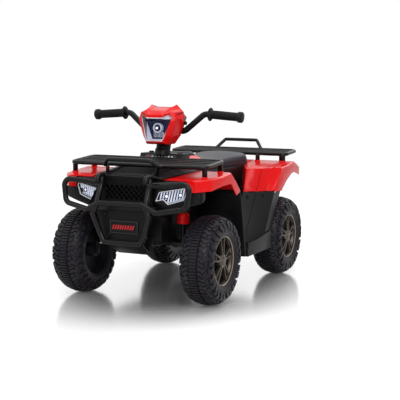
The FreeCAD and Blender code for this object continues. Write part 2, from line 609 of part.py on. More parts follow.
def make_grille():
    """A flat panel with a staggered net of lozenge holes."""
    owner = body("grille")
    back = f"({BONNET_FRONT} + grille_thick - 2)"
    front = f"({BONNET_FRONT} - 2)"
    top = "(bonnet_front_top - bonnet_wall - fit_gap)"
    half = "grille_half"
    pad(owner, "XZ", front, back, [(f"-{half}", "grille_bottom"), (half, "grille_bottom"), (half, top),
                                   (f"-{half}", top)])
    low = "(grille_bottom + grille_margin)"
    for shift, rows, columns in (("0", "mesh_rows", "mesh_columns"),
                                 ("1", "mesh_rows - 1", "mesh_columns - 1")):
        x = f"(mesh_pitch * (1 - mesh_columns) / 2 + {shift} * mesh_pitch / 2)"
        z = f"({low} + mesh_pitch / 2 + {shift} * mesh_pitch / 2)"
        reach = "(mesh_pitch - mesh_bar) / 2"
        hole = pocket(owner, "XZ", f"{front} - 1", f"{back} + 1",
                      [(f"{x} - {reach}", z), (x, f"{z} - {reach}"), (f"{x} + {reach}", z),
                       (x, f"{z} + {reach}")])
        net = owner.newObject("PartDesign::MultiTransform", "net")
        net.Originals = [hole]
        steps = []
        for role, count in (("X_Axis", columns), ("Z_Axis", rows)):
            line = owner.newObject("PartDesign::LinearPattern", "row")
            axis = next(f for f in owner.Origin.OriginFeatures if f.Role == role)
            line.Direction = (axis, [""])
            line.setExpression("Length", cell(f"mesh_pitch * ({columns if role == 'X_Axis' else rows} - 1)"))
            line.setExpression("Occurrences", cell(count))
            steps.append(line)
        net.Transformations = steps
        owner.Tip = net


def make_nose():
    """The lower front panel, bent under as a skid plate, and the bare plate on it."""
    owner = body("nose_panel")
    top = "(grille_bottom - fit_gap)"
    low = "skid_low"
    tub_front = f"({FRONT_Y} - tub_front_reach - fit_gap)"
    line = [
        (f"{BONNET_FRONT} - 2", top), (NOSE_FRONT, "nose_lip"), (NOSE_FRONT, "nose_chin"),
        (f"{FRONT_Y} - skid_front", "skid_front_height"), (f"{FRONT_Y} - skid_drop", low),
        (tub_front, f"{low} + nose_wall"), (tub_front, "tub_chin + 14")]
    inner = [(f"{a} + nose_wall", b) for a, b in line[:3]]
    inner += [(f"{FRONT_Y} - skid_front + nose_wall * 2", "skid_front_height + nose_wall / 2"),
              (f"{tub_front} - nose_wall", f"{low} + nose_wall * 2.2"),
              (f"{tub_front} - nose_wall", "tub_chin + 14")]
    pad(owner, "YZ", "-nose_top_half", "nose_top_half", line + inner[::-1])
    for side in ("1", "-1"):
        pocket(owner, "XZ", f"{NOSE_FRONT} - 20", f"{FRONT_Y} + 1", [
            (f"{side} * skid_half", f"{low} - 1"), (f"{side} * (nose_top_half + 1)", f"{low} - 1"),
            (f"{side} * (nose_top_half + 1)", "nose_lip"), (f"{side} * nose_top_half", "nose_lip")])
    plate = body("number_plate")
    half = "plate_width / 2"
    low, high = "plate_centre - plate_height / 2", "plate_centre + plate_height / 2"
    pad(plate, "XZ", f"{NOSE_FRONT} - plate_thick", NOSE_FRONT, [
        (f"-{half} + 6", low), (f"{half} - 6", low), (half, f"{low} + 6"), (half, f"{high} - 6"),
        (f"{half} - 6", high), (f"-{half} + 6", high), (f"-{half}", f"{high} - 6"),
        (f"-{half}", f"{low} + 6")])


def make_front_guards():
    """A red mudguard: a lofted sheet with a turned-down edge, and feet for the rack."""
    owner = body()
    stations = [
        (f"{FRONT_Y} - guard_nose_reach", "nose"), (f"{FRONT_Y} - guard_corner_reach", "corner"),
        (FRONT_Y, "mid"), (f"{FRONT_Y} + guard_shoulder_back", "shoulder"),
        (f"{FRONT_Y} + guard_fall_back", "fall"), (f"{FRONT_Y} + guard_tail_back", "tail")]
    wall = "guard_wall"
    sections = []
    for y, name in stations:
        half, top, edge = (f"guard_{name}_{part}" for part in ("half", "top", "edge"))
        sections.append((y, [
            (BESIDE, top), (f"{half} - 8", top), (half, f"{top} - 4"), (half, edge),
            (f"{half} - {wall}", edge), (f"{half} - {wall}", f"{top} - {wall} - 2"),
            (f"{half} - 8 - {wall}", f"{top} - {wall}"), (BESIDE, f"{top} - {wall}")]))
    loft(owner, "XZ", sections)
    feet = [rod("Z", "boss_radius", f"{top} - guard_nose_top + 2", "post_half", y, "guard_nose_top - 2")
            for y, top in ((f"{FRONT_Y} - post_front_reach", "boss_front_top"),
                           (f"{FRONT_Y} + post_back", "boss_top"))]
    front = f"{FRONT_Y} - guard_nose_reach"
    lip = box(("guard_lip", f"guard_nose_half - {wall} / 2"), (front, f"{front} + {wall}"),
              ("guard_lip_low", f"guard_nose_top - {wall} / 2"))
    left = fuse("front_mudguard_left", owner, lip, *feet)
    mirror(left, "front_mudguard_right")


def lamp_piece():
    """A body in the headlight's own turned frame: X along its face, Y into it."""
    owner = body()
    owner.Placement = Placement(Vector(), Rotation(Vector(0, 0, 1), val("lamp_yaw")))
    return bind(owner, x="lamp_inner + 1", y=f"{FRONT_Y} - lamp_front")


def lens_outline(inset):
    """The headlight lens: a slanted blade with a hook at its inner end."""
    return [
        (f"lens_inner + {inset}", f"lens_top_inner - {inset}"),
        (f"lens_hook + {inset}", f"lens_hook_height + {inset}"),
        ("lens_notch", f"lens_notch_height + {inset}"), ("lens_keel", f"lens_keel_height + {inset}"),
        (f"lens_corner - {inset}", f"lens_corner_height + {inset}"),
        (f"lens_tip - {inset}", "lens_tip_height"),
        (f"lens_outer - {inset}", f"lens_top_outer - {inset}")]


def make_headlights():
    top = "(guard_nose_top - guard_wall - fit_gap)"
    housing = lamp_piece()
    pad(housing, "XZ", "0", "lamp_depth", [
        ("0", "lamp_bottom + 14"), ("20", "lamp_bottom"), ("lens_keel + 15", "lamp_bottom - lamp_keel"),
        ("lens_tip + 2", "lamp_bottom"), ("lamp_width + lamp_cheek", "lamp_bottom + lamp_keel"),
        ("lamp_width + lamp_cheek", "cheek_top"), ("lamp_width", "cheek_top"), ("lamp_width", top),
        ("0", top)])
    pocket(housing, "XZ", "-1", "lamp_depth - lens_wall", lens_outline("0"))
    both_sides("headlight_housings", housing)
    lens = lamp_piece()
    pad(lens, "XZ", "lens_recess", "lens_recess + lens_wall", lens_outline("run_gap"))
    both_sides("headlight_lenses", lens)
    reflector = lamp_piece()
    start = "(lamp_depth - lens_wall - reflector_depth)"
    pad(reflector, "XZ", start, "lamp_depth - lens_wall", lens_outline("run_gap"))
    for step in range(4):
        x = f"(lens_keel - lamp_rib + {step} * lamp_rib_pitch)"
        pad(reflector, "XZ", f"{start} - lamp_rib", start, [
            (x, "lens_corner_height + 2"), (f"{x} + lamp_rib", "lens_corner_height + 2"),
            (f"{x} + lamp_rib", "lens_top_inner"), (x, "lens_top_inner")])
    both_sides("headlight_reflectors", reflector)


def make_bumper():
    """One loop of tube round both headlights, with uprights and a lower hoop."""
    radius = "bumper_tube / 2"
    upright_y = f"{BONNET_FRONT} - 2 - fit_gap - {radius}"
    loop = tube(mirrored_points([
        point("upright_half - 4", f"{BUMPER_Y} + 24", "loop_top - 12"),
        point("loop_outer", f"{BUMPER_Y} + loop_sweep", "loop_top"),
        point("loop_low_outer", f"{BUMPER_Y} + 21", "loop_low"),
        point("loop_dip", f"{BUMPER_Y} - 4", "dip_height"),
        point("hump_half", f"{BUMPER_Y} - 8", "hump_height")]), radius, "bumper_bend")
    hoop = tube(mirrored_points([
        point("upright_half", upright_y, "upright_top"), point("upright_half", upright_y, "loop_top - 14"),
        point("upright_half + 2", f"{BUMPER_Y} - 6", "hump_height - 12"),
        point("hoop_half", f"{BUMPER_Y} - 7", "dip_height - 12"),
        point("hoop_waist", f"{BUMPER_Y} + 5", "hoop_waist_height"),
        point("hoop_foot", f"{BUMPER_Y} + 3", "hoop_foot_height")]), radius, "bumper_bend / 2")
    fuse("bumper", loop, hoop)


def make_front_rack():
    radius = "rack_tube / 2"
    front, back = f"{FRONT_Y} - front_rack_reach", f"{FRONT_Y} + front_rack_back"
    low, high = "front_rack_low", "front_rack_high"
    frame = tube([point("-front_rack_half", front, low), point("front_rack_half", front, low),
                  point("front_rack_half", back, high), point("-front_rack_half", back, high)],
                 radius, "rack_bend", closed=True)
    pieces = [frame]
    for step in range(int(val("front_rack_bars"))):
        share = f"{step + 1} / (front_rack_bars + 1)"
        y = f"{front} + ({back} - ({front})) * {share}"
        pieces.append(rod("X", f"{radius} - 1", "2 * front_rack_half", "-front_rack_half", y,
                          f"{low} + ({high} - {low}) * {share}"))
    hoop_y = f"{FRONT_Y} - front_hoop_reach"
    pieces.append(tube(mirrored_points([
        point("front_hoop_half", front, low), point("front_hoop_half", hoop_y, low),
        point("front_hoop_top", f"{hoop_y} - front_hoop_lean", f"{low} + front_hoop_rise")]),
        f"{radius} - 0.5", "rack_bend / 2"))
    for side in ("1", "-1"):
        for y, z, foot in ((f"{FRONT_Y} - post_front_reach", low, "boss_front_top"),
                           (f"{FRONT_Y} + post_back", high, "boss_top")):
            pieces.append(rod("Z", "rack_post", f"{z} - {foot}", f"{side} * post_half", y, foot))
        y = f"({FRONT_Y} - centre_post_reach)"
        foot = f"(bonnet_front_top + {BONNET_SLOPE} * ({y} + {radius} - {BONNET_FRONT}) + fit_gap)"
        pieces.append(rod("Z", f"{radius} - 1.2", f"{low} - {foot}", f"{side} * centre_post_half", y, foot))
    fuse("front_rack", *pieces)


def make_rear_rack():
    radius = "rack_tube / 2"
    front, back = f"{REAR_Y} + rear_rack_front", f"{REAR_Y} + rear_rack_back"
    low, high = "rear_rack_low", "rear_rack_high"
    frame = tube([point("-rear_rack_half", front, low), point("rear_rack_half", front, low),
                  point("rear_rack_half", back, high), point("-rear_rack_half", back, high)],
                 radius, "rack_bend", closed=True)
    pieces = [frame]
    for step in range(int(val("rear_rack_bars"))):
        share = f"{step + 1} / (rear_rack_bars + 1)"
        y = f"{front} + ({back} - ({front})) * {share}"
        pieces.append(rod("X", f"{radius} - 1", "2 * rear_rack_half", "-rear_rack_half", y,
                          f"{low} + ({high} - {low}) * {share}"))
    pieces.append(tube(mirrored_points([
        point("rear_hoop_half", back, high),
        point("rear_hoop_top", f"{back} + rear_hoop_lean", f"{high} + rear_hoop_rise")]),
        f"{radius} - 0.5", "rack_bend / 2"))
    back_post = f"{REAR_Y} + rear_post_back"
    share = "(rear_post_back - rear_rack_front) / (rear_rack_back - rear_rack_front)"
    back_height = f"({low} + ({high} - {low}) * {share})"
    for side in ("1", "-1"):
        for x, y, z, foot in (("rear_post_half", front, low, "rear_boss_top"),
                              ("rear_post_inner", front, low, "rear_boss_top"),
                              ("rear_post_far", back_post, back_height, "rear_boss_low")):
            pieces.append(rod("Z", "rack_post", f"{z} - {foot}", f"{side} * {x}", y, foot))
    fuse("rear_rack", *pieces)


# Dash, tank and seat


def make_dash():
    """The console round the steering column, hollow below, with a raked collar."""
    owner = body()
    top = f"({BODY_TOP} + dash_height)"
    wall = "dash_wall"
    pad(owner, "YZ", "-dash_half", "dash_half", [
        (DASH_FRONT, BODY_TOP), (f"{DASH_FRONT} + dash_slope", top), (DASH_BACK, top), (DASH_BACK, BODY_TOP)])
    pocket(owner, "YZ", f"-dash_half + {wall}", f"dash_half - {wall}", [
        (f"{DASH_FRONT} + {wall}", f"{BODY_TOP} - 1"),
        (f"{DASH_FRONT} + dash_slope + {wall}", f"{top} - {wall}"),
        (f"{DASH_BACK} - {wall}", f"{top} - {wall}"), (f"{DASH_BACK} - {wall}", f"{BODY_TOP} - 1")])
    button_y = f"{DASH_BACK} - 24"
    pocket(owner, "XY", f"{top} - {wall} - 1", f"{top} + 1",
           ("-button_offset", button_y, "button_radius + fit_gap"),
           [("button_offset - rocker_width / 2 - fit_gap", f"{button_y} - rocker_length / 2 - fit_gap"),
            ("button_offset + rocker_width / 2 + fit_gap", f"{button_y} - rocker_length / 2 - fit_gap"),
            ("button_offset + rocker_width / 2 + fit_gap", f"{button_y} + rocker_length / 2 + fit_gap"),
            ("button_offset - rocker_width / 2 - fit_gap", f"{button_y} + rocker_length / 2 + fit_gap")])
    collar = column_rod("collar_radius", "collar_top - 26", "26")
    bore = column_rod("bush_radius + run_gap", "collar_top - 60", "90")
    cut("dash_console", fuse(None, owner, collar), bore)


def make_tank():
    owner = body("tank_cover")
    low, high = BODY_TOP, f"{BODY_TOP} + tank_height"
    front, back = f"{DASH_BACK} + fit_gap", TANK_BACK
    stations = [(back, f"{high} - 8"), (f"({front} + {back}) / 2", high), (front, f"{high} - 4")]

    def section(y, height, wall="0", drop="0"):
        side, crown = f"(tank_half - {wall})", f"(tank_top_half - {wall} / 2)"
        half = [(side, f"{low} - {drop}"), (side, f"{low} + 8 - {wall} / 2"), (crown, f"{height} - {wall}")]
        return y, half + [(minus(x), z) for x, z in reversed(half)]

    loft(owner, "XZ", [section(*station) for station in stations])
    hollow = [section(f"{y} {shift}", height, "tank_wall", "1")
              for (y, height), shift in zip(stations, ("- tank_wall", "", "+ tank_wall"))]
    loft(owner, "XZ", hollow, kind="SubtractiveLoft")


def make_seat():
    """A moulded saddle: narrow in front, dished in the middle, broad behind."""
    owner = body("seat")
    front = f"({SEAT_FRONT} + 3)"
    stations = [
        (SEAT_BACK, "seat_half_back - 4", "seat_back_top - 8"),
        (f"{SEAT_BACK} - 40", "seat_half_back", "seat_back_top"),
        (f"{front} + seat_mid", "(seat_half_front + seat_half_back) / 2", "seat_dip"),
        (front, "seat_half_front", "seat_front_top")]

    def section(y, half, top, wall="0", drop="0"):
        side = [(f"{half} - 6 - {wall}", f"seat_base - {drop}"), (f"{half} - {wall}", f"{top} - seat_edge"),
                (f"{half} - seat_edge - {wall} / 2", f"{top} - seat_crown + 3 - {wall}")]
        crown = [("0", f"{top} + seat_crown - {wall}")]
        return y, side + crown + [(minus(x), z) for x, z in reversed(side)]

    loft(owner, "XZ", [section(*station) for station in stations])
    hollow = [section(f"{y} {shift}", half, top, "seat_wall", "1")
              for (y, half, top), shift in zip(stations, ("- seat_wall", "", "", "+ seat_wall"))]
    loft(owner, "XZ", hollow, kind="SubtractiveLoft")


# Leg room and rear bodywork


def make_leg_room():
    """Leg shields, footboards and the panels in front of the rear wheels."""
    shield = body()
    top_y, low_y = f"{FRONT_Y} + shield_top_back", f"{FRONT_Y} + shield_low_back"
    pad(shield, "YZ", BESIDE, "shield_half", sheet_loop(
        [(top_y, "guard_tail_edge - guard_wall - fit_gap - 1"), (low_y, "board_bottom")], "shield_wall", "0"))
    both_sides("leg_shields", shield)

    board = body()
    wall = "board_wall"
    front = f"({low_y} + shield_wall + fit_gap)"
    back = f"({REAR_Y} - board_back)"
    lean = "(shield_low_back - shield_top_back) / (guard_tail_edge - board_bottom)"
    slope = f"({lean} * (board_top - board_bottom))"
    pad(board, "YZ", BESIDE, "board_half", [
        (front, "board_bottom"), (f"{front} - {slope} + 2", "board_top"), (back, "board_top"),
        (back, "board_bottom")])
    pocket(board, "YZ", f"{BESIDE} + {wall}", f"board_half - {wall}", [
        (f"{front} + {wall}", "board_bottom - 1"), (f"{front} + {wall}", f"board_top - {wall}"),
        (f"{back} - {wall}", f"board_top - {wall}"), (f"{back} - {wall}", "board_bottom - 1")])
    pad(board, "YZ", "board_half - board_lip", "board_half", [
        (f"{front}", "board_top - 4"), (back, "board_top - 4"), (back, "lip_back"),
        (f"{REAR_Y} - lip_bend", "lip_middle"), (front, "lip_front")])
    group("footboard_left", board)
    lugs = []
    for side in ("-1", "1"):
        x = f"(-pedal_centre + {side} * (pedal_width / 2 + fit_gap + pedal_lug / 2))"
        y = f"{FRONT_Y} + pedal_back"
        lug = box((f"{x} - pedal_lug / 2", f"{x} + pedal_lug / 2"), (f"{y} - 8", f"{y} + 8"),
                  ("board_top", "board_top + pedal_pin_rise + pedal_pin + 4"))
        lugs.append(lug)
    pin = rod("X", "pedal_pin + run_gap", "pedal_width + 4 * pedal_lug",
              "-pedal_centre - pedal_width / 2 - 2 * pedal_lug",
              f"{FRONT_Y} + pedal_back", "board_top + pedal_pin_rise")
    cut("footboard_right", fuse(None, mirror(board), *lugs), pin)

    panel = body()
    low, high = "(board_top + fit_gap)", "(panel_top - fit_gap)"
    thick = "panel_wall"
    sections = []
    for z, nook, inner, outer in ((low, "panel_low_inner", "panel_low_inner", "panel_low_outer"),
                                  (high, "nook_low", "panel_top_inner", "panel_top_outer")):
        crease = f"(({inner} + {outer}) / 2 + 8)"
        line = [(BESIDE, f"{REAR_Y} - {nook}"), ("panel_inner", f"{REAR_Y} - {inner}"),
                ("panel_crease", f"{REAR_Y} - {crease}"), ("panel_half", f"{REAR_Y} - {outer}")]
        sections.append((z, sheet_loop(line, "0", thick)))
    loft(panel, "XY", sections)
    side_top = "(arch_low - 2 * fit_gap)"
    clear_low = "(wheel_diameter / 2 + panel_low_clear)"
    clear_top = "(wheel_diameter * 0.85 - panel_top_clear)"
    front_top = f"({REAR_Y} - panel_top_outer - (panel_top - {side_top}) * 0.6 + {thick} / 2)"
    pad(panel, "YZ", f"panel_half - {thick}", "panel_half", [
        (f"{REAR_Y} - panel_low_outer + {thick} / 2", low), (f"{REAR_Y} - {clear_low}", low),
        (f"{REAR_Y} - {clear_top}", side_top), (front_top, side_top)])
    left = group("rear_leg_panel_left", panel)
    mirror(left, "rear_leg_panel_right")


def make_rear_guards():
    """A red mudguard behind the leg room: raked front, deck, flared side and tail."""
    owner = body()
    wall = "guard_wall"
    stations = [
        (BESIDE, "nook_low", "nook_top"), ("panel_inner", "panel_top_inner", "rear_top_inner"),
        ("panel_crease", "((panel_top_inner + panel_top_outer) / 2 + 8)", "rear_top_crease"),
        ("tail_half - 4", "(panel_top_outer * 0.7 + panel_crease * 0.23)", "(rear_top_outer + 40)")]
    sections = []
    for x, low, top in stations:
        line = [(f"{REAR_Y} - {low}", "panel_top"), (f"{REAR_Y} - {top}", "rear_guard_top"),
                (f"{REAR_Y} + tail_top_back", "tail_top"), (f"{REAR_Y} + tail_back", "tail_low_top")]
        inner = [(f"{REAR_Y} - {low} + {wall} * 1.5", "panel_top"),
                 (f"{REAR_Y} - {top} + {wall}", f"rear_guard_top - {wall}"),
                 (f"{REAR_Y} + tail_top_back", f"tail_top - {wall}"),
                 (f"{REAR_Y} + tail_back", f"tail_low_top - {wall}")]
        sections.append((x, line + inner[::-1]))
    loft(owner, "YZ", sections)
    half = "rear_guard_half"
    flare = [
        (f"{REAR_Y} - panel_top_outer", half, "panel_top", "panel_top + 6"),
        (f"{REAR_Y} - arch_front", half, "arch_low", "rear_guard_top"),
        (f"{REAR_Y} - arch_mid_back", half, "arch_mid", "rear_guard_top + 4"),
        (f"{REAR_Y} + arch_high_back", f"{half} - 4", "arch_high", "tail_top - 3"),
        (f"{REAR_Y} + tail_top_back", f"({half} + tail_half) / 2 + 4", "arch_high + 2", "tail_top"),
        (f"{REAR_Y} + tail_back", "tail_half + 6", "tail_tip + 6", "tail_low_top"),
        (f"{REAR_Y} + tail_tip_back", "tail_half", "tail_tip", "tail_low_top - 8")]
    side = body()
    sections = []
    for y, x, low, top in flare:
        sections.append((y, [(f"{x} - {wall}", low), (x, low), (x, f"{top} - 3"), (f"{x} - 5", top),
                             ("tail_half - 30", top), ("tail_half - 30", f"{top} - {wall}"),
                             (f"{x} - {wall} - 2", f"{top} - {wall}")]))
    loft(side, "XZ", sections)
    feet = [rod("Z", "boss_radius", f"{top} - rear_guard_top + 6", x, y, "rear_guard_top - 6")
            for x, y, top in (("rear_post_half", f"{REAR_Y} + rear_rack_front", "rear_boss_top"),
                              ("rear_post_inner", f"{REAR_Y} + rear_rack_front", "rear_boss_top"),
                              ("rear_post_far", f"{REAR_Y} + rear_post_back", "rear_boss_low"))]
    corner = body()
    sections = []
    for x, low, top in (stations[-1], (f"{half} - {wall}", "panel_top_outer", "arch_front")):
        sections.append((x, [
            (f"{REAR_Y} - {low}", "panel_top"), (f"{REAR_Y} - {top}", "rear_guard_top"),
            (f"{REAR_Y} - {top} + {wall}", f"rear_guard_top - {wall}"),
            (f"{REAR_Y} - {low} + {wall} * 1.5", "panel_top")]))
    loft(corner, "YZ", sections)
    left = fuse("rear_mudguard_left", owner, side, corner, *feet)
    mirror(left, "rear_mudguard_right")


def make_tail():
    """The panel that closes the body behind the seat."""
    owner = body("tail_panel")
    wall = "guard_wall"
    start = f"({SEAT_BACK} + 2 * fit_gap)"
    line = [(start, "seat_base + 1"), (f"{REAR_Y} + tail_top_back", "tail_top"),
            (f"{REAR_Y} + tail_back - 6", "tail_low_top"),
            (f"{REAR_Y} + tail_back + 2", "tail_low_top - tail_panel_drop")]
    inner = [(start, f"seat_base + 1 - {wall} / 2"), (f"{REAR_Y} + tail_top_back", f"tail_top - {wall}"),
             (f"{REAR_Y} + tail_back - 6 - {wall}", f"tail_low_top - {wall}"),
             (f"{REAR_Y} + tail_back + 2 - {wall}", "tail_low_top - tail_panel_drop")]
    pad(owner, "YZ", f"-{SIDE}", SIDE, line + inner[::-1])


# Running gear


def make_front_axle():
    """The axle beam with an eye at each end, and its king pins."""
    low = f"({FRONT_FLOOR} - beam_height)"
    beam = box(("-beam_half - 8", "beam_half + 8"),
               (f"{FRONT_Y} - beam_width / 2", f"{FRONT_Y} + beam_width / 2"),
               (low, FRONT_FLOOR))
    eyes = [rod("Z", "boss_eye", "beam_height", f"{side} * kingpin_half", FRONT_Y, low)
            for side in ("1", "-1")]
    bores = [rod("Z", "kingpin_radius + run_gap", "beam_height + 2", f"{side} * kingpin_half", FRONT_Y,
                 f"{low} - 1")
             for side in ("1", "-1")]
    cut("front_axle_beam", fuse(None, beam, *eyes), fuse(None, *bores))
    pins = []
    for side in ("1", "-1"):
        x = f"{side} * kingpin_half"
        foot = f"{low} - 2 * fit_gap - lug_thick - bolt_head"
        shank = rod("Z", "kingpin_radius", "beam_height + 2 * lug_thick + 4 * fit_gap + 2 * bolt_head", x,
                    FRONT_Y, foot)
        heads = [rod("Z", "kingpin_radius + 4", "bolt_head", x, FRONT_Y, foot),
                 rod("Z", "kingpin_radius + 4", "bolt_head", x, FRONT_Y,
                     f"{FRONT_FLOOR} + 2 * fit_gap + lug_thick")]
        pins.append(fuse(None, shank, *heads))
    group("kingpin_bolts", *pins)


def make_knuckles():
    """A forked knuckle with its spindle and steering arm; the wheel nut screws on the spindle."""
    low = f"({FRONT_FLOOR} - beam_height)"
    x = "kingpin_half"
    web = f"({x} + boss_eye + fit_gap + 1)"
    half = "boss_eye"
    forks = []
    for foot in (f"{FRONT_FLOOR} + fit_gap", f"{low} - fit_gap - lug_thick"):
        forks.append(rod("Z", half, "lug_thick", x, FRONT_Y, foot))
        forks.append(box((x, f"{web} + knuckle_web"), (f"{FRONT_Y} - {half}", f"{FRONT_Y} + {half}"),
                         (foot, f"{foot} + lug_thick")))
    forks.append(box((web, f"{web} + knuckle_web"), (f"{FRONT_Y} - {half}", f"{FRONT_Y} + {half}"),
                     (f"{AXLE_Z} - boss_eye", f"{FRONT_FLOOR} + fit_gap + lug_thick")))
    forks.append(rod("X", "axle_diameter / 2", f"track / 2 + tyre_width / 2 - axle_end_inset - ({web})",
                     web, FRONT_Y, AXLE_Z))
    arm_top = f"({low} - fit_gap)"
    forks.append(box((f"{x} - arm_width / 2", f"{x} + arm_width / 2"),
                     (FRONT_Y, f"{FRONT_Y} + arm_length + arm_width / 2"),
                     (f"{arm_top} - lug_thick", arm_top)))
    forks.append(rod("Z", "arm_pin", "tie_thick + 8", x, f"{FRONT_Y} + arm_length", f"{arm_top} - 1"))
    bore = rod("Z", "kingpin_radius + run_gap", "beam_height + 2 * lug_thick + 2 * fit_gap + 2", x, FRONT_Y,
               f"{low} - fit_gap - lug_thick - 1")
    left = cut("knuckle_left", fuse(None, *forks), bore)
    mirror(left, "knuckle_right")
    for side, sign in (("left", "1"), ("right", "-1")):
        group(f"spindle_nut_{side}", nut(f"{sign} * track / 2", FRONT_Y, sign))


def make_tie_rod():
    """A flat bar that lies on the knuckle arms, with a slot for each pin."""
    low = f"({FRONT_FLOOR} - beam_height)"
    y = f"({FRONT_Y} + arm_length)"
    owner = body("tie_rod")
    half = "tie_width / 2"
    end = "(kingpin_half + 16)"
    pad(owner, "XY", low, f"{low} + tie_thick", [
        (f"-{end}", f"{y} - {half} - 4"), (end, f"{y} - {half} - 4"), (end, f"{y} + {half} - 2"),
        (f"-{end}", f"{y} + {half} - 2")])
    for x in ("0", "kingpin_half", "-kingpin_half"):
        reach = "(arm_pin + slot_play)"
        pocket(owner, "XY", f"{low} - 1", f"{low} + tie_thick + 1", [
            (f"{x} - {reach}", f"{y} - {reach} - slot_travel"),
            (f"{x} + {reach}", f"{y} - {reach} - slot_travel"),
            (f"{x} + {reach}", f"{y} + {reach}"), (f"{x} - {reach}", f"{y} + {reach}")])


def make_rear_drive():
    """The fixed rear axle with its nuts, and a motor and gearbox at each wheel."""
    reach = "track / 2 + tyre_width / 2 - axle_end_inset"
    rod("X", "axle_diameter / 2", f"2 * ({reach})", f"-({reach})", REAR_Y, AXLE_Z, label="rear_axle")
    group("rear_axle_nuts", nut("track / 2", REAR_Y, "1"), nut("-track / 2", REAR_Y, "-1"))
    motor_z = f"{AXLE_Z} + motor_rise"
    casing = body()
    half = "drive_radius"
    pad(casing, "YZ", BESIDE, f"{BESIDE} + drive_casing", [
        (f"{REAR_Y} - {half}", f"{AXLE_Z} - {half} / 2"), (f"{REAR_Y} - {half} / 2", f"{AXLE_Z} - {half}"),
        (f"{REAR_Y} + {half} / 2", f"{AXLE_Z} - {half}"), (f"{REAR_Y} + {half}", f"{AXLE_Z} - {half} / 2"),
        (f"{REAR_Y} + {half} - 6", f"{motor_z} + 10"), (f"{REAR_Y} + {half} / 2", f"{motor_z} + {half} - 4"),
        (f"{REAR_Y} - {half} / 2", f"{motor_z} + {half} - 4"), (f"{REAR_Y} - {half} + 6", f"{motor_z} + 10")])
    hub_face = "(track / 2 - tyre_width / 2 + hub_inset - fit_gap)"
    pad(casing, "YZ", f"{BESIDE} + drive_casing", hub_face, (REAR_Y, AXLE_Z, "hub_radius"))
    pad(casing, "YZ", f"{BESIDE} - motor_length", BESIDE, (REAR_Y, motor_z, "motor_radius"))
    pocket(casing, "YZ", f"{BESIDE} - 1", f"{hub_face} + 1", (REAR_Y, AXLE_Z, "axle_diameter / 2 + run_gap"))
    both_sides("drive_units", casing)


def make_shocks():
    """The red mock shock absorbers between the axle beam and the towers."""
    foot = "(tower_height - shock_length)"
    pieces = [
        rod("Z", "shock_rod", f"{foot} - {FRONT_FLOOR} + 2", "shock_half", FRONT_Y, FRONT_FLOOR),
        rod("Z", "shock_radius", "shock_length - shock_cap / 2", "shock_half", FRONT_Y, foot),
        rod("Z", "shock_cap", "shock_cap", "shock_half", FRONT_Y, "tower_height - shock_cap")]
    both_sides("front_shocks", fuse(None, *pieces))


def make_electrics():
    floor = "(ground_clearance + tub_wall)"
    y = f"({FRONT_Y} + low_floor_front + battery_front)"
    x = "battery_width / 2"
    case = box((f"-{x}", x), (y, f"{y} + battery_length"), (floor, f"{floor} + battery_height"))
    poles = [box((f"{side} * battery_width / 4 - 4", f"{side} * battery_width / 4 + 4"),
                 (f"{y} + 8", f"{y} + 18"),
                 (f"{floor} + battery_height", f"{floor} + battery_height + 6")) for side in ("1", "-1")]
    fuse("battery", case, *poles)
    unit = body("control_box")
    half = "control_width / 2"
    y = f"({FRONT_Y} + low_floor_front + battery_front + battery_length + 20)"
    pad(unit, "YZ", f"-{half}", half, [
        (y, floor), (f"{y} + control_length", floor),
        (f"{y} + control_length", f"{floor} + control_height - 8"),
        (f"{y} + control_length - 8", f"{floor} + control_height"), (f"{y} + 8", f"{floor} + control_height"),
        (y, f"{floor} + control_height - 8")])
    socket = body("charging_socket")
    place = (f"{FRONT_Y} + socket_back", "socket_height")
    pad(socket, "YZ", f"-{SIDE}", f"-{SIDE} + socket_depth", (*place, "socket_radius"))
    pad(socket, "YZ", f"-{SIDE} - 3", f"-{SIDE}", (*place, "socket_flange"))
    pocket(socket, "YZ", f"-{SIDE} - 4", f"-{SIDE} + socket_depth - 6", (*place, "socket_bore"))


# Steering


def make_column():
    """The steering column with its crank and crank pin, and the bushes it turns in."""
    radius = "column_diameter / 2"
    shaft = rod("Z", radius, "column_top + crank_drop", "0", "0", "-crank_drop")
    crank = box((f"-{radius} - 2", f"{radius} + 2"), ("0", "crank_length + arm_pin + 3"),
                ("-crank_drop", "crank_thick - crank_drop"))
    pin = rod("Z", "arm_pin", "crank_thick + tie_thick + 10", "0", "crank_length", "-crank_drop + 2")
    on_column(fuse("steering_column", shaft, crank, pin))
    bushes = []
    for start in (f"{BOSS_FOOT} + 2", "collar_top - bush_length - 1"):
        sleeve = rod("Z", "bush_radius", "bush_length", "0", "0", start)
        bore = rod("Z", f"{radius} + run_gap", "bush_length + 2", "0", "0", f"{start} - 1")
        bushes.append(cut(None, sleeve, bore))
    on_column(group("steering_bushes", *bushes))


def bar_height():
    """Height of the handlebar's middle, on the steering axis."""
    return f"(column_foot + (column_top + bar_diameter / 2 + fit_gap) * cos(caster))"


def bar_place():
    return f"({COLUMN_Y} + (column_top + bar_diameter / 2 + fit_gap) * sin(caster))"


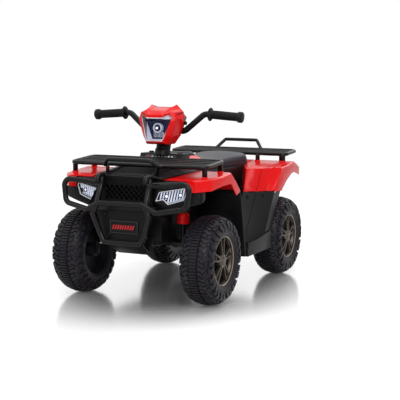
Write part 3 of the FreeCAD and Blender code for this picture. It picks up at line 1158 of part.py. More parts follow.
def make_handlebar():
    """A bent tube with a rubber grip on each end."""
    y, z = bar_place(), bar_height()
    knee_z = f"({z} + bar_rise)"
    drop = "(bar_end - bar_knee) * tan(grip_droop)"
    ends = [point("bar_end", f"{y} + bar_sweep", f"{knee_z} - {drop}"),
            point("bar_knee", f"{y} + bar_sweep", knee_z),
            point("bar_flat", y, z)]
    outer = tube(mirrored_points(ends), "bar_diameter / 2", "bar_bend")
    inner = tube(mirrored_points(ends), "bar_diameter / 2 - bar_wall", "bar_bend")
    cut("handlebar", outer, inner)
    grip = body()
    start, length = "grip_start - bar_knee", "grip_length"
    end = f"({start} + {length})"
    close = "(bar_end - bar_knee) / cos(grip_droop) + fit_gap"
    bore = "bar_diameter / 2 + run_gap"
    revolve(grip, [
        (start, bore), (start, "grip_flange"), (f"{start} + 5", "grip_flange"),
        (f"{start} + 8", "grip_radius + 1"),
        (f"{start} + {length} / 2", "grip_radius"), (f"{end} - 8", "grip_radius"),
        (f"{end} - 5", "grip_end_flange"),
        (f"{close} + grip_end_wall", "grip_end_flange"), (f"{close} + grip_end_wall", "0"), (close, "0"),
        (close, bore)])
    grip.Placement = Placement(Vector(), Rotation(Vector(0, 1, 0), val("grip_droop")))
    bind(grip, x="bar_knee", y=f"{y} + bar_sweep", z=knee_z)
    both_sides("grips", grip)


def pod_section(name, shrink="0"):
    """The lamp pod's outline at one section, drawn in by a wall."""
    left = []
    for corner, sign in (("foot", "+"), ("low", "+"), ("wide", "+"), ("brow", "-"), ("top", "-"),
                         ("dip", "-")):
        up = "0" if corner == "wide" else shrink
        left.append((f"(pod_{name}_{corner}_half - ({shrink}))", f"(pod_{name}_{corner} {sign} ({up}))"))
    return left + [(minus(x), z) for x, z in reversed(left)]


def pod_lens_prism(gap, start, end):
    """A prism across the pod's front with the lens outline."""
    owner = body()
    left = [(f"pod_lens_foot_half - {gap}", f"pod_lens_foot + {gap}"),
            (f"pod_lens_half - {gap}", f"pod_lens_side"),
            (f"pod_lens_horn_half - {gap}", f"pod_lens_horn - {gap}"),
            (f"pod_lens_notch_half - {gap}", f"pod_lens_notch - {gap}")]
    pad(owner, "XZ", start, end, left + [(minus(x), z) for x, z in reversed(left)])
    return owner


def make_pod():
    """The red lamp pod, its lens and reflector, and the black cover behind it."""
    nose, cheek, back = (f"({FRONT_Y} + pod_{name})" for name in ("nose", "cheek", "back"))
    shell = body()
    loft(shell, "XZ", [(back, pod_section("back")), (cheek, pod_section("cheek")),
                       (nose, pod_section("nose"))])
    loft(shell, "XZ", [(f"{back} + 1", pod_section("back", "pod_wall")),
                       (cheek, pod_section("cheek", "pod_wall")),
                       (f"{nose} + pod_wall", pod_section("nose", "pod_wall"))], kind="SubtractiveLoft")
    neck_hole = column_rod("neck_half - 6 + fit_gap", "collar_top - 20", "column_top - collar_top")
    window = pod_lens_prism("0", f"{nose} - 1", f"{nose} + pod_lens_depth + 4")
    cut("pod_shell", shell, fuse(None, neck_hole, window))
    bend = body()
    line = [("pod_lens_half + 4", f"{nose} + 1 + pod_lens_depth"), ("pod_lens_foot_half", f"{nose} + 1"),
            ("-pod_lens_foot_half", f"{nose} + 1"), ("-(pod_lens_half + 4)", f"{nose} + 1 + pod_lens_depth")]
    pad(bend, "XY", "pod_nose_foot", "pod_back_top", sheet_loop(line, "0", "lens_wall"))
    lens = new("Part::Common", "pod_lens")
    lens.Base = bend
    lens.Tool = pod_lens_prism("run_gap", f"{nose} - 1", f"{nose} + pod_lens_depth + 4")
    reflector = body("pod_reflector")
    face = f"({cheek} + 3)"
    pad(reflector, "XZ", face, f"{face} + 7", pod_section("cheek", "pod_wall + fit_gap"))
    pad(reflector, "XZ", f"{face} - 14", face, ("0", "pod_projector_height", "pod_projector"))
    cover = body()
    edge = f"({back} + fit_gap)"
    end = f"({edge} + pod_cover_depth)"
    loft(cover, "XZ", [(end, pod_section("back", "pod_cover_shrink")), (edge, pod_section("back", "2"))])
    loft(cover, "XZ", [(f"{end} - pod_wall", pod_section("back", "pod_cover_shrink + pod_wall")),
                       (f"{edge} - 1", pod_section("back", "2 + pod_wall"))], kind="SubtractiveLoft")
    y, z = bar_place(), bar_height()
    neck = column_rod("neck_half - 6", "collar_top + fit_gap", "column_top - collar_top - 33")
    room = "bar_diameter / 2 + fit_gap"
    hole = rod("X", room, "4 * bar_flat", "-2 * bar_flat", y, z)
    rise = [tube([point(f"{s} * bar_flat / 2", y, z), point(f"{s} * bar_flat", y, z),
                  point(f"{s} * bar_knee", f"{y} + bar_sweep", f"{z} + bar_rise")], room, "bar_bend")
            for s in ("1", "-1")]
    bore = column_rod("column_diameter / 2 + run_gap", "collar_top - 20", "column_top - collar_top + 40")
    horn = rod("X", "horn_radius + run_gap", "40", "pod_back_wide_half - 34", y, "horn_height")
    cut("pod_back_cover", fuse(None, cover, neck), fuse(None, hole, bore, horn, *rise))
    rod("X", "horn_radius", "horn_rise + 14", "pod_back_wide_half - 24", y, "horn_height",
        label="horn_button")


# Controls


def make_controls():
    y, z = f"({FRONT_Y} + pedal_back)", "(board_top + pedal_pin_rise)"
    pedal = body()
    half = "pedal_width / 2"
    pad(pedal, "YZ", f"-{half}", half, [
        ("-pedal_length", "-pedal_thick / 2"), ("6", "-pedal_thick / 2"), ("6", "pedal_thick / 2"),
        ("-pedal_length", "pedal_thick / 2")])
    pad(pedal, "YZ", f"-{half} - pedal_lug", f"{half} + pedal_lug", ("0", "0", "pedal_pin"))
    placed = group("throttle_pedal", pedal)
    placed.Placement = Placement(Vector(), Rotation(Vector(-1, 0, 0), val("pedal_tilt")))
    bind(placed, x="-pedal_centre", y=y, z=z)
    top = f"({BODY_TOP} + dash_height)"
    place = f"({DASH_BACK} - 24)"
    rod("Z", "button_radius", "button_rise + 12", "-button_offset", place, f"{top} - 12",
        label="power_button")
    rocker = body("direction_switch")
    pad(rocker, "YZ", "button_offset - rocker_width / 2", "button_offset + rocker_width / 2", [
        (f"{place} - rocker_length / 2 + 2", f"{top} - 8"),
        (f"{place} + rocker_length / 2 - 2", f"{top} - 8"),
        (f"{place} + rocker_length / 2 - 1", f"{top} + rocker_rise - 2"), (place, f"{top} + rocker_rise"),
        (f"{place} - rocker_length / 2 + 1", f"{top} + rocker_rise - 2")])


make_wheels()
make_tub()
make_centre_body()
make_bonnet()
make_grille()
make_nose()
make_front_guards()
make_headlights()
make_bumper()
make_front_rack()
make_rear_rack()
make_dash()
make_tank()
make_seat()
make_leg_room()
make_rear_guards()
make_tail()
make_front_axle()
make_knuckles()
make_tie_rod()
make_rear_drive()
make_shocks()
make_electrics()
make_column()
make_handlebar()
make_pod()
make_controls()

doc.recompute()
faults = [f"{o.Name} ({o.Label}): {o.State}" for o in doc.Objects if {"Invalid", "Error"} & set(o.State)]
for label, thing in nodes.items():
    if thing.Shape.isNull() or not thing.Shape.isValid() or not thing.Shape.Solids:
        faults.append(f"{label}: shape is empty or not valid")
if faults:
    raise RuntimeError("; ".join(faults))

os.makedirs("parts", exist_ok=True)
for label, thing in nodes.items():
    thing.Shape.exportStep(f"parts/{label}.step")
    size = thing.Shape.BoundBox
    print(label, len(thing.Shape.Solids), round(thing.Shape.Volume / 1000, 1), "cm3",
          [round(v, 1) for v in (size.XMin, size.XMax, size.YMin, size.YMax, size.ZMin, size.ZMax)])
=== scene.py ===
# A child's ride-on quad bike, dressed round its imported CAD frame.
# Sizes are in millimetres until a mesh is made; the quad faces -Y and its left is +X.
import bpy
import bmesh
import json
import math
from mathutils import Matrix, Quaternion, Vector
from mathutils.bvhtree import BVHTree


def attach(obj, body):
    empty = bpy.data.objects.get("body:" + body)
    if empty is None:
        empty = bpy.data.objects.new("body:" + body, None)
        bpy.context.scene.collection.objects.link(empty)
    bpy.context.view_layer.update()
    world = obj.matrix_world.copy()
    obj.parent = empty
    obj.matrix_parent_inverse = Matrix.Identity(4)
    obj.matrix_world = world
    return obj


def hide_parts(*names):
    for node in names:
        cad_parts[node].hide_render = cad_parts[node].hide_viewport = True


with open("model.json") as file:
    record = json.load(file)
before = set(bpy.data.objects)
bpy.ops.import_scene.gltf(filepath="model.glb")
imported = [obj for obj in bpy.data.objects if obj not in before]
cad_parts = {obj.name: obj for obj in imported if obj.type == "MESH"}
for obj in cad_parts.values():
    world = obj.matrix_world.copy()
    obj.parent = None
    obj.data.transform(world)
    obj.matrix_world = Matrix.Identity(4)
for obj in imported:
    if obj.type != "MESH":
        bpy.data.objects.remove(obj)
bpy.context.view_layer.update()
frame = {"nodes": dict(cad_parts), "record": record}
NODES = frame["nodes"]
BODY_OF = {node: body for body, members in frame["record"]["behaviour"]["bodies"].items() for node in members}
MM = 0.001

# Materials


def linear(hex_colour):
    """An sRGB hex colour as linear RGBA."""
    parts = [int(hex_colour[i:i + 2], 16) / 255 for i in (1, 3, 5)]
    return [c / 12.92 if c <= 0.04045 else ((c + 0.055) / 1.055) ** 2.4 for c in parts] + [1.0]


def add(tree, kind, values=None, links=None, **settings):
    """Adds a node: settings are its properties, values its input values, links its incoming sockets."""
    node = tree.nodes.new(kind)
    for key, value in settings.items():
        setattr(node, key, value)
    for key, value in (values or {}).items():
        node.inputs[key].default_value = value
    for key, socket in (links or {}).items():
        tree.links.new(socket, node.inputs[key])
    return node


def per_metre(size_mm):
    """The texture scale at which one pattern cell is this many millimetres across."""
    return 1000.0 / size_mm


def surface(name, colour, shade, rough, patch_mm, grain_mm, grain_height_mm, grain="noise", **shader):
    """A material with cloudy colour, uneven gloss and a raised grain, all at real sizes."""
    material = bpy.data.materials.new(name)
    material.use_nodes = True
    tree = material.node_tree
    principled = tree.nodes["Principled BSDF"]
    for key, value in shader.items():
        principled.inputs[key.replace("_", " ")].default_value = value
    place = add(tree, "ShaderNodeTexCoord").outputs["Object"]
    cloud = add(tree, "ShaderNodeTexNoise", {"Scale": per_metre(patch_mm), "Detail": 4.0, "Roughness": 0.6},
                {"Vector": place}).outputs["Fac"]
    # of a colour Mix node's sockets, 6 and 7 are the two colours and output 2 the result
    tint = add(tree, "ShaderNodeMix", {6: linear(colour), 7: linear(shade)}, {"Factor": cloud},
               data_type="RGBA")
    tree.links.new(tint.outputs[2], principled.inputs["Base Color"])
    gloss = add(tree, "ShaderNodeMapRange", {"To Min": rough[0], "To Max": rough[1]}, {"Value": cloud})
    tree.links.new(gloss.outputs["Result"], principled.inputs["Roughness"])
    if grain == "cells":
        height = add(tree, "ShaderNodeTexVoronoi", {"Scale": per_metre(grain_mm)},
                     {"Vector": place}).outputs["Distance"]
    elif grain == "flutes":
        # a wave texture's bands are pi / 10 apart at scale 1
        height = add(tree, "ShaderNodeTexWave", {"Scale": per_metre(grain_mm) * math.pi / 10},
                     {"Vector": place}, bands_direction="Z").outputs["Fac"]
    else:
        height = add(tree, "ShaderNodeTexNoise", {"Scale": per_metre(grain_mm), "Detail": 3.0},
                     {"Vector": place}).outputs["Fac"]
    bump = add(tree, "ShaderNodeBump", {"Strength": 0.6, "Distance": grain_height_mm * MM},
               {"Height": height})
    tree.links.new(bump.outputs["Normal"], principled.inputs["Normal"])
    return material


def clear_cover(name, tint, haze, patch_mm):
    """A thin clear moulding: light goes straight through it and its face mirrors at a slant."""
    material = bpy.data.materials.new(name)
    material.use_nodes = True
    tree = material.node_tree
    tree.nodes.remove(tree.nodes["Principled BSDF"])
    place = add(tree, "ShaderNodeTexCoord").outputs["Object"]
    cloud = add(tree, "ShaderNodeTexNoise", {"Scale": per_metre(patch_mm), "Detail": 3.0},
                {"Vector": place}).outputs["Fac"]
    rough = add(tree, "ShaderNodeMapRange", {"To Min": haze[0], "To Max": haze[1]}, {"Value": cloud})
    colour = add(tree, "ShaderNodeMix", {6: linear(tint[0]), 7: linear(tint[1])}, {"Factor": cloud},
                 data_type="RGBA")
    through = add(tree, "ShaderNodeBsdfTransparent", None, {"Color": colour.outputs[2]})
    mirror = add(tree, "ShaderNodeBsdfGlossy", None, {"Roughness": rough.outputs["Result"]})
    # lower than solid polycarbonate's 1.58, because the thin cover hardly mirrors
    slant = add(tree, "ShaderNodeFresnel", {"IOR": 1.18})
    both_ways = add(tree, "ShaderNodeMixShader", None, {
        0: slant.outputs[0], 1: through.outputs[0], 2: mirror.outputs[0]})
    tree.links.new(both_ways.outputs[0], tree.nodes["Material Output"].inputs["Surface"])
    return material


# High-gloss injection-moulded ABS: a deep even red with a faint orange peel.
RED_ABS = surface("red_gloss_abs", "#E01012", "#D40C0F", (0.16, 0.26), 70, 3, 0.03, Specular_IOR_Level=0.16)
# Polypropylene from a spark-eroded mould: dull black with a fine sandy grain, drawn coarser so it shows.
BLACK_PP = surface("black_grained_polypropylene", "#08080A", "#0E0E11", (0.34, 0.48), 60, 1.6, 0.10,
                   Specular_IOR_Level=0.14)
# The same polypropylene painted a little paler along edges: a painted highlight.
EDGE_HIGHLIGHT_PP = surface("polypropylene_painted_edge_highlight", "#2A2A2D", "#1D1D20", (0.34, 0.46), 30, 1.6, 0.08,
                  Specular_IOR_Level=0.2)
# Powder-coated steel tube: satin black with a slight orange peel, so lamps show as soft streaks.
BLACK_COAT = surface("black_powder_coat", "#070708", "#0C0C0D", (0.26, 0.36), 50, 2.4, 0.05,
                     Specular_IOR_Level=0.2)
# Blow-moulded HDPE wheels: blackish with a violet cast, waxy, scuffed here and there.
TREAD_PE = surface("black_blow_moulded_polyethylene", "#141217", "#1E1A21", (0.40, 0.56), 45, 2.2, 0.14,
                   Specular_IOR_Level=0.2)
# Bronze-grey metallic lacquer on moulded ABS rims: dark, with a warm sheen.
RIM_LACQUER = surface("bronze_lacquered_abs", "#4C433A", "#342D26", (0.26, 0.40), 30, 1.2, 0.04, Metallic=0.6)
# The rim's lip: the same lacquer painted paler and more metallic, a painted highlight along the rim's edge.
RIM_LIP_PAINTED_HIGHLIGHT = surface("bronze_lip_painted_highlight", "#9E9286", "#7C7166", (0.24, 0.34), 20, 1.0, 0.03, Metallic=0.7)
# Black polypropylene painted darker than the rest, for the bottom of recesses and seams: painted shade, so
# hardly any light comes back.
BLACK_PAINTED_SHADE = surface("black_plastic_painted_shade", "#040405", "#070708", (0.5, 0.65), 40, 1.5, 0.08,
                     Specular_IOR_Level=0.1)
# Thermoplastic rubber with a moulded texture: a matt black that feels dry.
GRIP_RUBBER = surface("grip_rubber", "#0B0B0C", "#111112", (0.55, 0.70), 25, 1.1, 0.10,
                      Specular_IOR_Level=0.2)
# Blow-moulded polyethylene saddle with a pressed leather grain and a soft broken gloss; its black is painted
# dark grey, a painted sheen of the light on its top.
SADDLE_PAINTED_SHEEN = surface("saddle_skin_painted_sheen", "#2A2A31", "#34343C", (0.40, 0.54), 80, 3.2, 0.30, grain="cells",
                 Specular_IOR_Level=0.22)
# Zinc-plated mild steel: bluish silver, a little uneven.
ZINC = surface("zinc_plated_steel", "#A9ACB1", "#8C8F95", (0.28, 0.42), 18, 0.9, 0.03, Metallic=1.0)
# Vacuum-metallised ABS cup round the lit projector: its flutes give bright and dark bands, and a faint
# emission paints the projector's light reflected in it, a painted glow.
CUP_PAINTED_GLOW = surface("metallised_cup_painted_glow", "#FFFFFF", "#9AA0B4", (0.15, 0.3), 7, 9.0, 4.0, grain="flutes",
                  Metallic=0.2, Emission_Color=linear("#F0F3FF"), Emission_Strength=0.22)
# Satin silver paint on the lamp trims: a soft bright outline.
SILVER = surface("satin_silver_trim", "#E9EBEF", "#D6DAE1", (0.25, 0.35), 15, 1.0, 0.03, Metallic=0.2)
# The lamps' slanted white fins, with an emission that paints the diodes' light reflected in them: a painted
# glow of cool white.
FIN_PAINTED_GLOW = surface("fin_painted_glow", "#FFFFFF", "#EEF1FA", (0.2, 0.3), 10, 1.0, 0.01,
                  Emission_Color=linear("#EEF2FF"), Emission_Strength=0.35)
# Smoked acrylic at the back of the lamps: dark blue-violet with a soft mirror.
SMOKE = surface("smoked_lamp_back", "#1A1D48", "#0C0E26", (0.2, 0.3), 14, 2.0, 0.02, Specular_IOR_Level=0.15)
# Clear moulded polycarbonate lamp covers: the lamps show through under a faint gloss.
CLEAR = clear_cover("clear_polycarbonate", ("#FFFFFF", "#F5F8FF"), (0.02, 0.06), 35)
# A lit diode under its own epoxy dome: plain white light.
DIODE = surface("lit_diode", "#FFFFFF", "#F2F6FF", (0.2, 0.3), 6, 1.0, 0.01, Emission_Color=linear("#F4F7FF"),
                Emission_Strength=1.0)
# Printed vinyl film in three colours: even, with a satin shine.
PALE_FILM = surface("pale_vinyl_film", "#D9D9D7", "#C8C8C5", (0.30, 0.4), 25, 1.4, 0.02,
                    Specular_IOR_Level=0.3)
GREY_FILM = surface("grey_vinyl_film", "#3E3F42", "#303134", (0.32, 0.44), 25, 1.4, 0.02,
                    Specular_IOR_Level=0.3)
RED_FILM = surface("red_vinyl_film", "#C4262A", "#AC1C22", (0.30, 0.4), 25, 1.4, 0.02,
                   Specular_IOR_Level=0.3)

# Meshes


def piece(name, mesh, material, body, slot, *nodes):
    """A finished mesh as a piece that rides on a body and may stand for CAD nodes."""
    thing = bpy.data.objects.new(name, mesh)
    bpy.context.scene.collection.objects.link(thing)
    mesh.materials.clear()
    mesh.materials.append(material)
    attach(thing, body)
    if nodes:
        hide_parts(*nodes)


def evaluated(mesh, *modifiers):
    """The mesh after modifiers, given as (type, settings), as a plain mesh."""
    carrier = bpy.data.objects.new("carrier", mesh)
    bpy.context.scene.collection.objects.link(carrier)
    for kind, settings in modifiers:
        modifier = carrier.modifiers.new(kind.lower(), kind)
        for key, value in settings.items():
            if kind == "NODES" and key != "node_group":
                modifier[modifier.node_group.interface.items_tree[key].identifier] = value
            else:
                setattr(modifier, key, value)
    graph = bpy.context.evaluated_depsgraph_get()
    result = bpy.data.meshes.new_from_object(carrier.evaluated_get(graph))
    bpy.data.objects.remove(carrier)
    return result


def rounded(width_mm, segments=2, angle=30):
    """A bevel on every edge sharper than an angle."""
    return ("BEVEL", {"width": width_mm * MM, "segments": segments, "limit_method": "ANGLE",
                      "angle_limit": math.radians(angle), "use_clamp_overlap": True})


def smooth(mesh, angle=35):
    """The same mesh, shaded smooth up to an angle."""
    mesh.shade_smooth()
    mesh.set_sharp_from_angle(angle=math.radians(angle))
    return mesh


def solid(name, points, faces):
    """A mesh from millimetre points, with doubles merged and its faces turned outwards."""
    bm = bmesh.new()
    made = [bm.verts.new(Vector(p) * MM) for p in points]
    for face in faces:
        bm.faces.new([made[i] for i in face])
    bmesh.ops.remove_doubles(bm, verts=bm.verts, dist=1e-6)
    bmesh.ops.recalc_face_normals(bm, faces=bm.faces)
    mesh = bpy.data.meshes.new(name)
    bm.to_mesh(mesh)
    bm.free()
    return mesh


def turned(name, profile, steps=96):
    """Turns a closed line of (along X, radius) points about X."""
    points, faces = [], []
    count = len(profile)
    for step in range(steps):
        angle = 2 * math.pi * step / steps
        for along, radius in profile:
            points.append((along, radius * math.sin(angle), radius * math.cos(angle)))
    for step in range(steps):
        here, after = step * count, (step + 1) % steps * count
        for i in range(count):
            j = (i + 1) % count
            faces.append((here + i, here + j, after + j, after + i))
    return solid(name, points, faces)


def lofted(name, sections):
    """Joins closed sections of equal point counts into a capped skin."""
    points = [p for section in sections for p in section]
    count = len(sections[0])
    faces = [tuple(range(count)), tuple(reversed(range(len(points) - count, len(points))))]
    for start in range(0, len(points) - count, count):
        for i in range(count):
            j = (i + 1) % count
            faces.append((start + i, start + j, start + count + j, start + count + i))
    return solid(name, points, faces)


def pressed(name, outline, low, high, place):
    """A plate from a flat outline between two depths; place maps (across, depth, up) to the quad."""
    return lofted(name, [[place(a, depth, b) for a, b in outline] for depth in (low, high)])


def upright(across, depth, up):
    """A plate that faces forwards: its outline is in X and Z."""
    return across, depth, up


def sideways(across, depth, up):
    """A plate that faces the side: its outline is in Y and Z."""
    return depth, across, up


def lying(across, depth, along):
    """A plate that lies flat: its outline is in X and Y."""
    return across, along, depth


def ringed(name, *lines):
    """A closed ring through four lines of equal counts: outer and inner low, then outer and inner high."""
    count = len(lines[0])
    faces = []
    for i in range(count):
        j = (i + 1) % count
        for a, b in ((0, 1), (2, 3), (0, 2), (1, 3)):
            faces.append((a * count + i, a * count + j, b * count + j, b * count + i))
    return solid(name, [p for line in lines for p in line], faces)


def framed(name, outer, inner, low, high, place):
    """A flat ring between two outlines of equal point counts, as a plate."""
    lines = [[place(a, depth, b) for a, b in line] for depth in (low, high) for line in (outer, inner)]
    return ringed(name, *lines)


def piped(name, points, radius, closed=False, sides=12):
    """A round bead along straight runs."""
    curve = bpy.data.curves.new(name, "CURVE")
    curve.dimensions = "3D"
    curve.bevel_depth = radius * MM
    curve.bevel_resolution = sides // 4
    curve.use_fill_caps = True
    spline = curve.splines.new("POLY")
    spline.points.add(len(points) - 1)
    for target, p in zip(spline.points, points):
        target.co = (*(Vector(p) * MM), 1)
    spline.use_cyclic_u = closed
    carrier = bpy.data.objects.new(name, curve)
    bpy.context.scene.collection.objects.link(carrier)
    mesh = bpy.data.meshes.new_from_object(carrier.evaluated_get(bpy.context.evaluated_depsgraph_get()))
    bpy.data.objects.remove(carrier)
    return mesh


def joined(name, *meshes):
    """Several meshes as one."""
    bm = bmesh.new()
    for mesh in meshes:
        bm.from_mesh(mesh)
    result = bpy.data.meshes.new(name)
    bm.to_mesh(result)
    bm.free()
    return result


def moved(mesh, matrix):
    """A copy of a mesh put somewhere else; a mirrored copy is turned right side out."""
    copy = mesh.copy()
    copy.transform(matrix)
    if matrix.determinant() < 0:
        copy.flip_normals()
    return copy


MIRROR = Matrix.Diagonal((-1, 1, 1, 1))


def paired(mesh):
    """A left-hand mesh and its mirror image as one mesh."""
    return joined(mesh.name, mesh, moved(mesh, MIRROR))


def place_at(x, y, z):
    """A move by millimetres."""
    return Matrix.Translation(Vector((x, y, z)) * MM)


def between(stops, value):
    """A smooth value between (place, value) stops."""
    for (a, low), (b, high) in zip(stops, stops[1:]):
        if value <= b or (b, high) == stops[-1]:
            share = min(max((value - a) / (b - a), 0), 1)
            return low + (high - low) * share * share * (3 - 2 * share)


def inset(outline, amount):
    """A closed outline drawn in by an amount, counter-clockwise or clockwise alike."""
    area = sum(a[0] * b[1] - b[0] * a[1] for a, b in zip(outline, outline[1:] + outline[:1]))
    amount = amount if area > 0 else -amount
    lines = []
    for (x0, z0), (x1, z1) in zip(outline, outline[1:] + outline[:1]):
        run = math.hypot(x1 - x0, z1 - z0)
        shift = (-(z1 - z0) / run * amount, (x1 - x0) / run * amount)
        lines.append(((x0 + shift[0], z0 + shift[1]), ((x1 - x0) / run, (z1 - z0) / run)))
    corners = []
    for (p, d), (q, e) in zip(lines[-1:] + lines[:-1], lines):
        cross = d[0] * e[1] - d[1] * e[0]
        if abs(cross) < 1e-6:
            corners.append(q)
            continue
        t = ((q[0] - p[0]) * e[1] - (q[1] - p[1]) * e[0]) / cross
        corners.append((p[0] + d[0] * t, p[1] + d[1] * t))
    return corners


def within(outline, x, z):
    """Whether a point lies in a closed outline."""
    odd = False
    for (x0, z0), (x1, z1) in zip(outline, outline[1:] + outline[:1]):
        if (z0 > z) != (z1 > z) and x < (x1 - x0) * (z - z0) / (z1 - z0) + x0:
            odd = not odd
    return odd


def on_skin(node, place):
    """The nearest spot on a CAD node and the way it faces there."""
    mesh = NODES[node].data
    tree = BVHTree.FromPolygons([v.co for v in mesh.vertices], [p.vertices for p in mesh.polygons])
    spot, way, _, _ = tree.find_nearest(Vector(place) * MM)
    return spot / MM, way


# Geometry Nodes trees for what repeats


def new_tree(name, *inputs):
    """An empty tree with a geometry input, named inputs and a geometry output."""
    tree = bpy.data.node_groups.new(name, "GeometryNodeTree")
    tree.interface.new_socket("Geometry", in_out="INPUT", socket_type="NodeSocketGeometry")
    for label, kind in inputs:
        tree.interface.new_socket(label, in_out="INPUT", socket_type=kind)
    tree.interface.new_socket("Geometry", in_out="OUTPUT", socket_type="NodeSocketGeometry")
    return tree, add(tree, "NodeGroupInput"), add(tree, "NodeGroupOutput")


def close_tree(tree, instances, start, end):
    """Ends a tree in real geometry with its material."""
    real = add(tree, "GeometryNodeRealizeInstances", None, {"Geometry": instances})
    painted_real = add(tree, "GeometryNodeSetMaterial", None,
                       {"Geometry": real.outputs["Geometry"], "Material": start.outputs["Material"]})
    tree.links.new(painted_real.outputs["Geometry"], end.inputs["Geometry"])


def ring_tree():
    """Copies of a shape turned about X, evenly spaced."""
    tree, start, end = new_tree("ring_of_copies", ("Count", "NodeSocketInt"),
                                ("Material", "NodeSocketMaterial"))
    spots = add(tree, "GeometryNodeMeshLine", {"Offset": (0, 0, 0)}, {"Count": start.outputs["Count"]})
    index = add(tree, "GeometryNodeInputIndex")
    share = add(tree, "ShaderNodeMath", None, {0: index.outputs[0], 1: start.outputs["Count"]},
                operation="DIVIDE")
    angle = add(tree, "ShaderNodeMath", {1: 2 * math.pi}, {0: share.outputs[0]}, operation="MULTIPLY")
    turn = add(tree, "ShaderNodeCombineXYZ", None, {"X": angle.outputs[0]})
    copies = add(tree, "GeometryNodeInstanceOnPoints", None, {
        "Points": spots.outputs["Mesh"], "Instance": start.outputs["Geometry"],
        "Rotation": turn.outputs["Vector"]})
    close_tree(tree, copies.outputs["Instances"], start, end)
    return tree


def row_tree():
    """Copies of a shape in a straight row."""
    tree, start, end = new_tree("row_of_copies", ("Count", "NodeSocketInt"), ("Step", "NodeSocketVector"),
                                ("Material", "NodeSocketMaterial"))
    spots = add(tree, "GeometryNodeMeshLine", None,
                {"Count": start.outputs["Count"], "Offset": start.outputs["Step"]})
    copies = add(tree, "GeometryNodeInstanceOnPoints", None, {
        "Points": spots.outputs["Mesh"], "Instance": start.outputs["Geometry"]})
    close_tree(tree, copies.outputs["Instances"], start, end)
    return tree


def stud_tree():
    """A shape on every point, facing along that point's own direction."""
    tree, start, end = new_tree("heads_on_points", ("Head", "NodeSocketObject"),
                                ("Material", "NodeSocketMaterial"))
    facing = add(tree, "GeometryNodeInputNamedAttribute", {"Name": "facing"}, data_type="FLOAT_VECTOR")
    aim = add(tree, "FunctionNodeAlignRotationToVector", None, {"Vector": facing.outputs["Attribute"]},
              axis="Z")
    head = add(tree, "GeometryNodeObjectInfo", None, {"Object": start.outputs["Head"]})
    copies = add(tree, "GeometryNodeInstanceOnPoints", None, {
        "Points": start.outputs["Geometry"], "Instance": head.outputs["Geometry"],
        "Rotation": aim.outputs["Rotation"]})
    close_tree(tree, copies.outputs["Instances"], start, end)
    return tree


RING, ROW, STUDS = ring_tree(), row_tree(), stud_tree()


def ring_of(mesh, count, material):
    """A mesh repeated round X."""
    return evaluated(mesh, ("NODES", {"node_group": RING, "Count": count, "Material": material}))


def row_of(mesh, count, step, material):
    """A mesh repeated along a step in millimetres."""
    return evaluated(mesh, ("NODES", {
        "node_group": ROW, "Count": count, "Step": Vector(step) * MM, "Material": material}))


def screw_head():
    """A domed cross-head screw, face towards +Z, with its underside at the origin."""
    radius, rise, slot_half, slot_reach = 4.2, 2.4, 0.55, 2.4
    dome = turned("screw_dome", [(0, 0.01), (0, radius), (rise * 0.45, radius), (rise * 0.85, radius * 0.72),
                                 (rise, radius * 0.4), (rise, 0.01)], 20)
    dome.transform(Matrix.Rotation(-math.pi / 2, 4, "Y"))
    bar = pressed("slot", [(-slot_reach, rise), (slot_reach, rise), (slot_reach, rise + 0.25),
                           (-slot_reach, rise + 0.25)], -slot_half, slot_half, upright)
    other = moved(bar, Matrix.Rotation(math.pi / 2, 4, "Z"))
    return bpy.data.objects.new("screw_head", joined("screw_head", dome, bar, other))


def plug_cap():
    """A round push-in plug with a dished face towards +Z."""
    cap = turned("plug_cap", [(-2, 0.01), (-2, 6.4), (0.8, 6.4), (1.6, 5.6), (1.6, 4.6), (0.6, 3.8),
                              (0.6, 0.01)], 32)
    cap.transform(Matrix.Rotation(-math.pi / 2, 4, "Y"))
    return bpy.data.objects.new("plug_cap", cap)


SCREW, PLUG = screw_head(), plug_cap()


def studs(name, head, places, body, material, slot):
    """Screw heads or plugs at (place, facing) pairs."""
    mesh = bpy.data.meshes.new(name)
    mesh.from_pydata([Vector(p) * MM for p, _ in places], [], [])
    facing = mesh.attributes.new("facing", "FLOAT_VECTOR", "POINT")
    for item, (_, way) in zip(facing.data, places):
        item.vector = Vector(way).normalized()
    heads = evaluated(mesh, ("NODES", {"node_group": STUDS, "Head": head, "Material": material}))
    piece(name, smooth(heads), material, body, slot)


def both(places):
    """Places on the left, and their mirror images."""
    return places + [((-p[0], p[1], p[2]), (-w[0], w[1], w[2])) for p, w in places]


# CAD shapes that are right as they are: the same mesh with rounded edges


def dressed(node, material, slot, edge_mm, segments=2, angle=30):
    """A node's own mesh, merged, with its sharp edges rounded."""
    bm = bmesh.new()
    bm.from_mesh(NODES[node].data)
    bmesh.ops.remove_doubles(bm, verts=bm.verts, dist=2e-5)
    bmesh.ops.dissolve_limit(bm, angle_limit=math.radians(0.6), verts=bm.verts, edges=bm.edges)
    mesh = bpy.data.meshes.new(f"{node}_skin")
    bm.to_mesh(mesh)
    bm.free()
    result = evaluated(mesh, rounded(edge_mm, segments, angle))
    piece(f"{node}_skin", smooth(result, 40), material, BODY_OF[node], slot, node)


def painted(node, material):
    """A CAD node that shows as it is, in a better material."""
    NODES[node].data.materials.clear()
    NODES[node].data.materials.append(material)


# Wheels

WHEEL_X, FRONT_Y, REAR_Y, AXLE_Z = 250, -340, 315, 155
TREAD_RADIUS = 150
# the tyre's outer line from the centre band's groove to the bead
SHOULDER = [(15.5, 147.4), (25, 146.4), (34, 144), (42, 139.4), (48, 133.4), (52.4, 126.6), (55.2, 119),
            (56.6, 110)]
# how far out on the shoulder the blocks begin to sink into the sidewall, and how fast
SINK_START, SINK_RUN = 44, 40


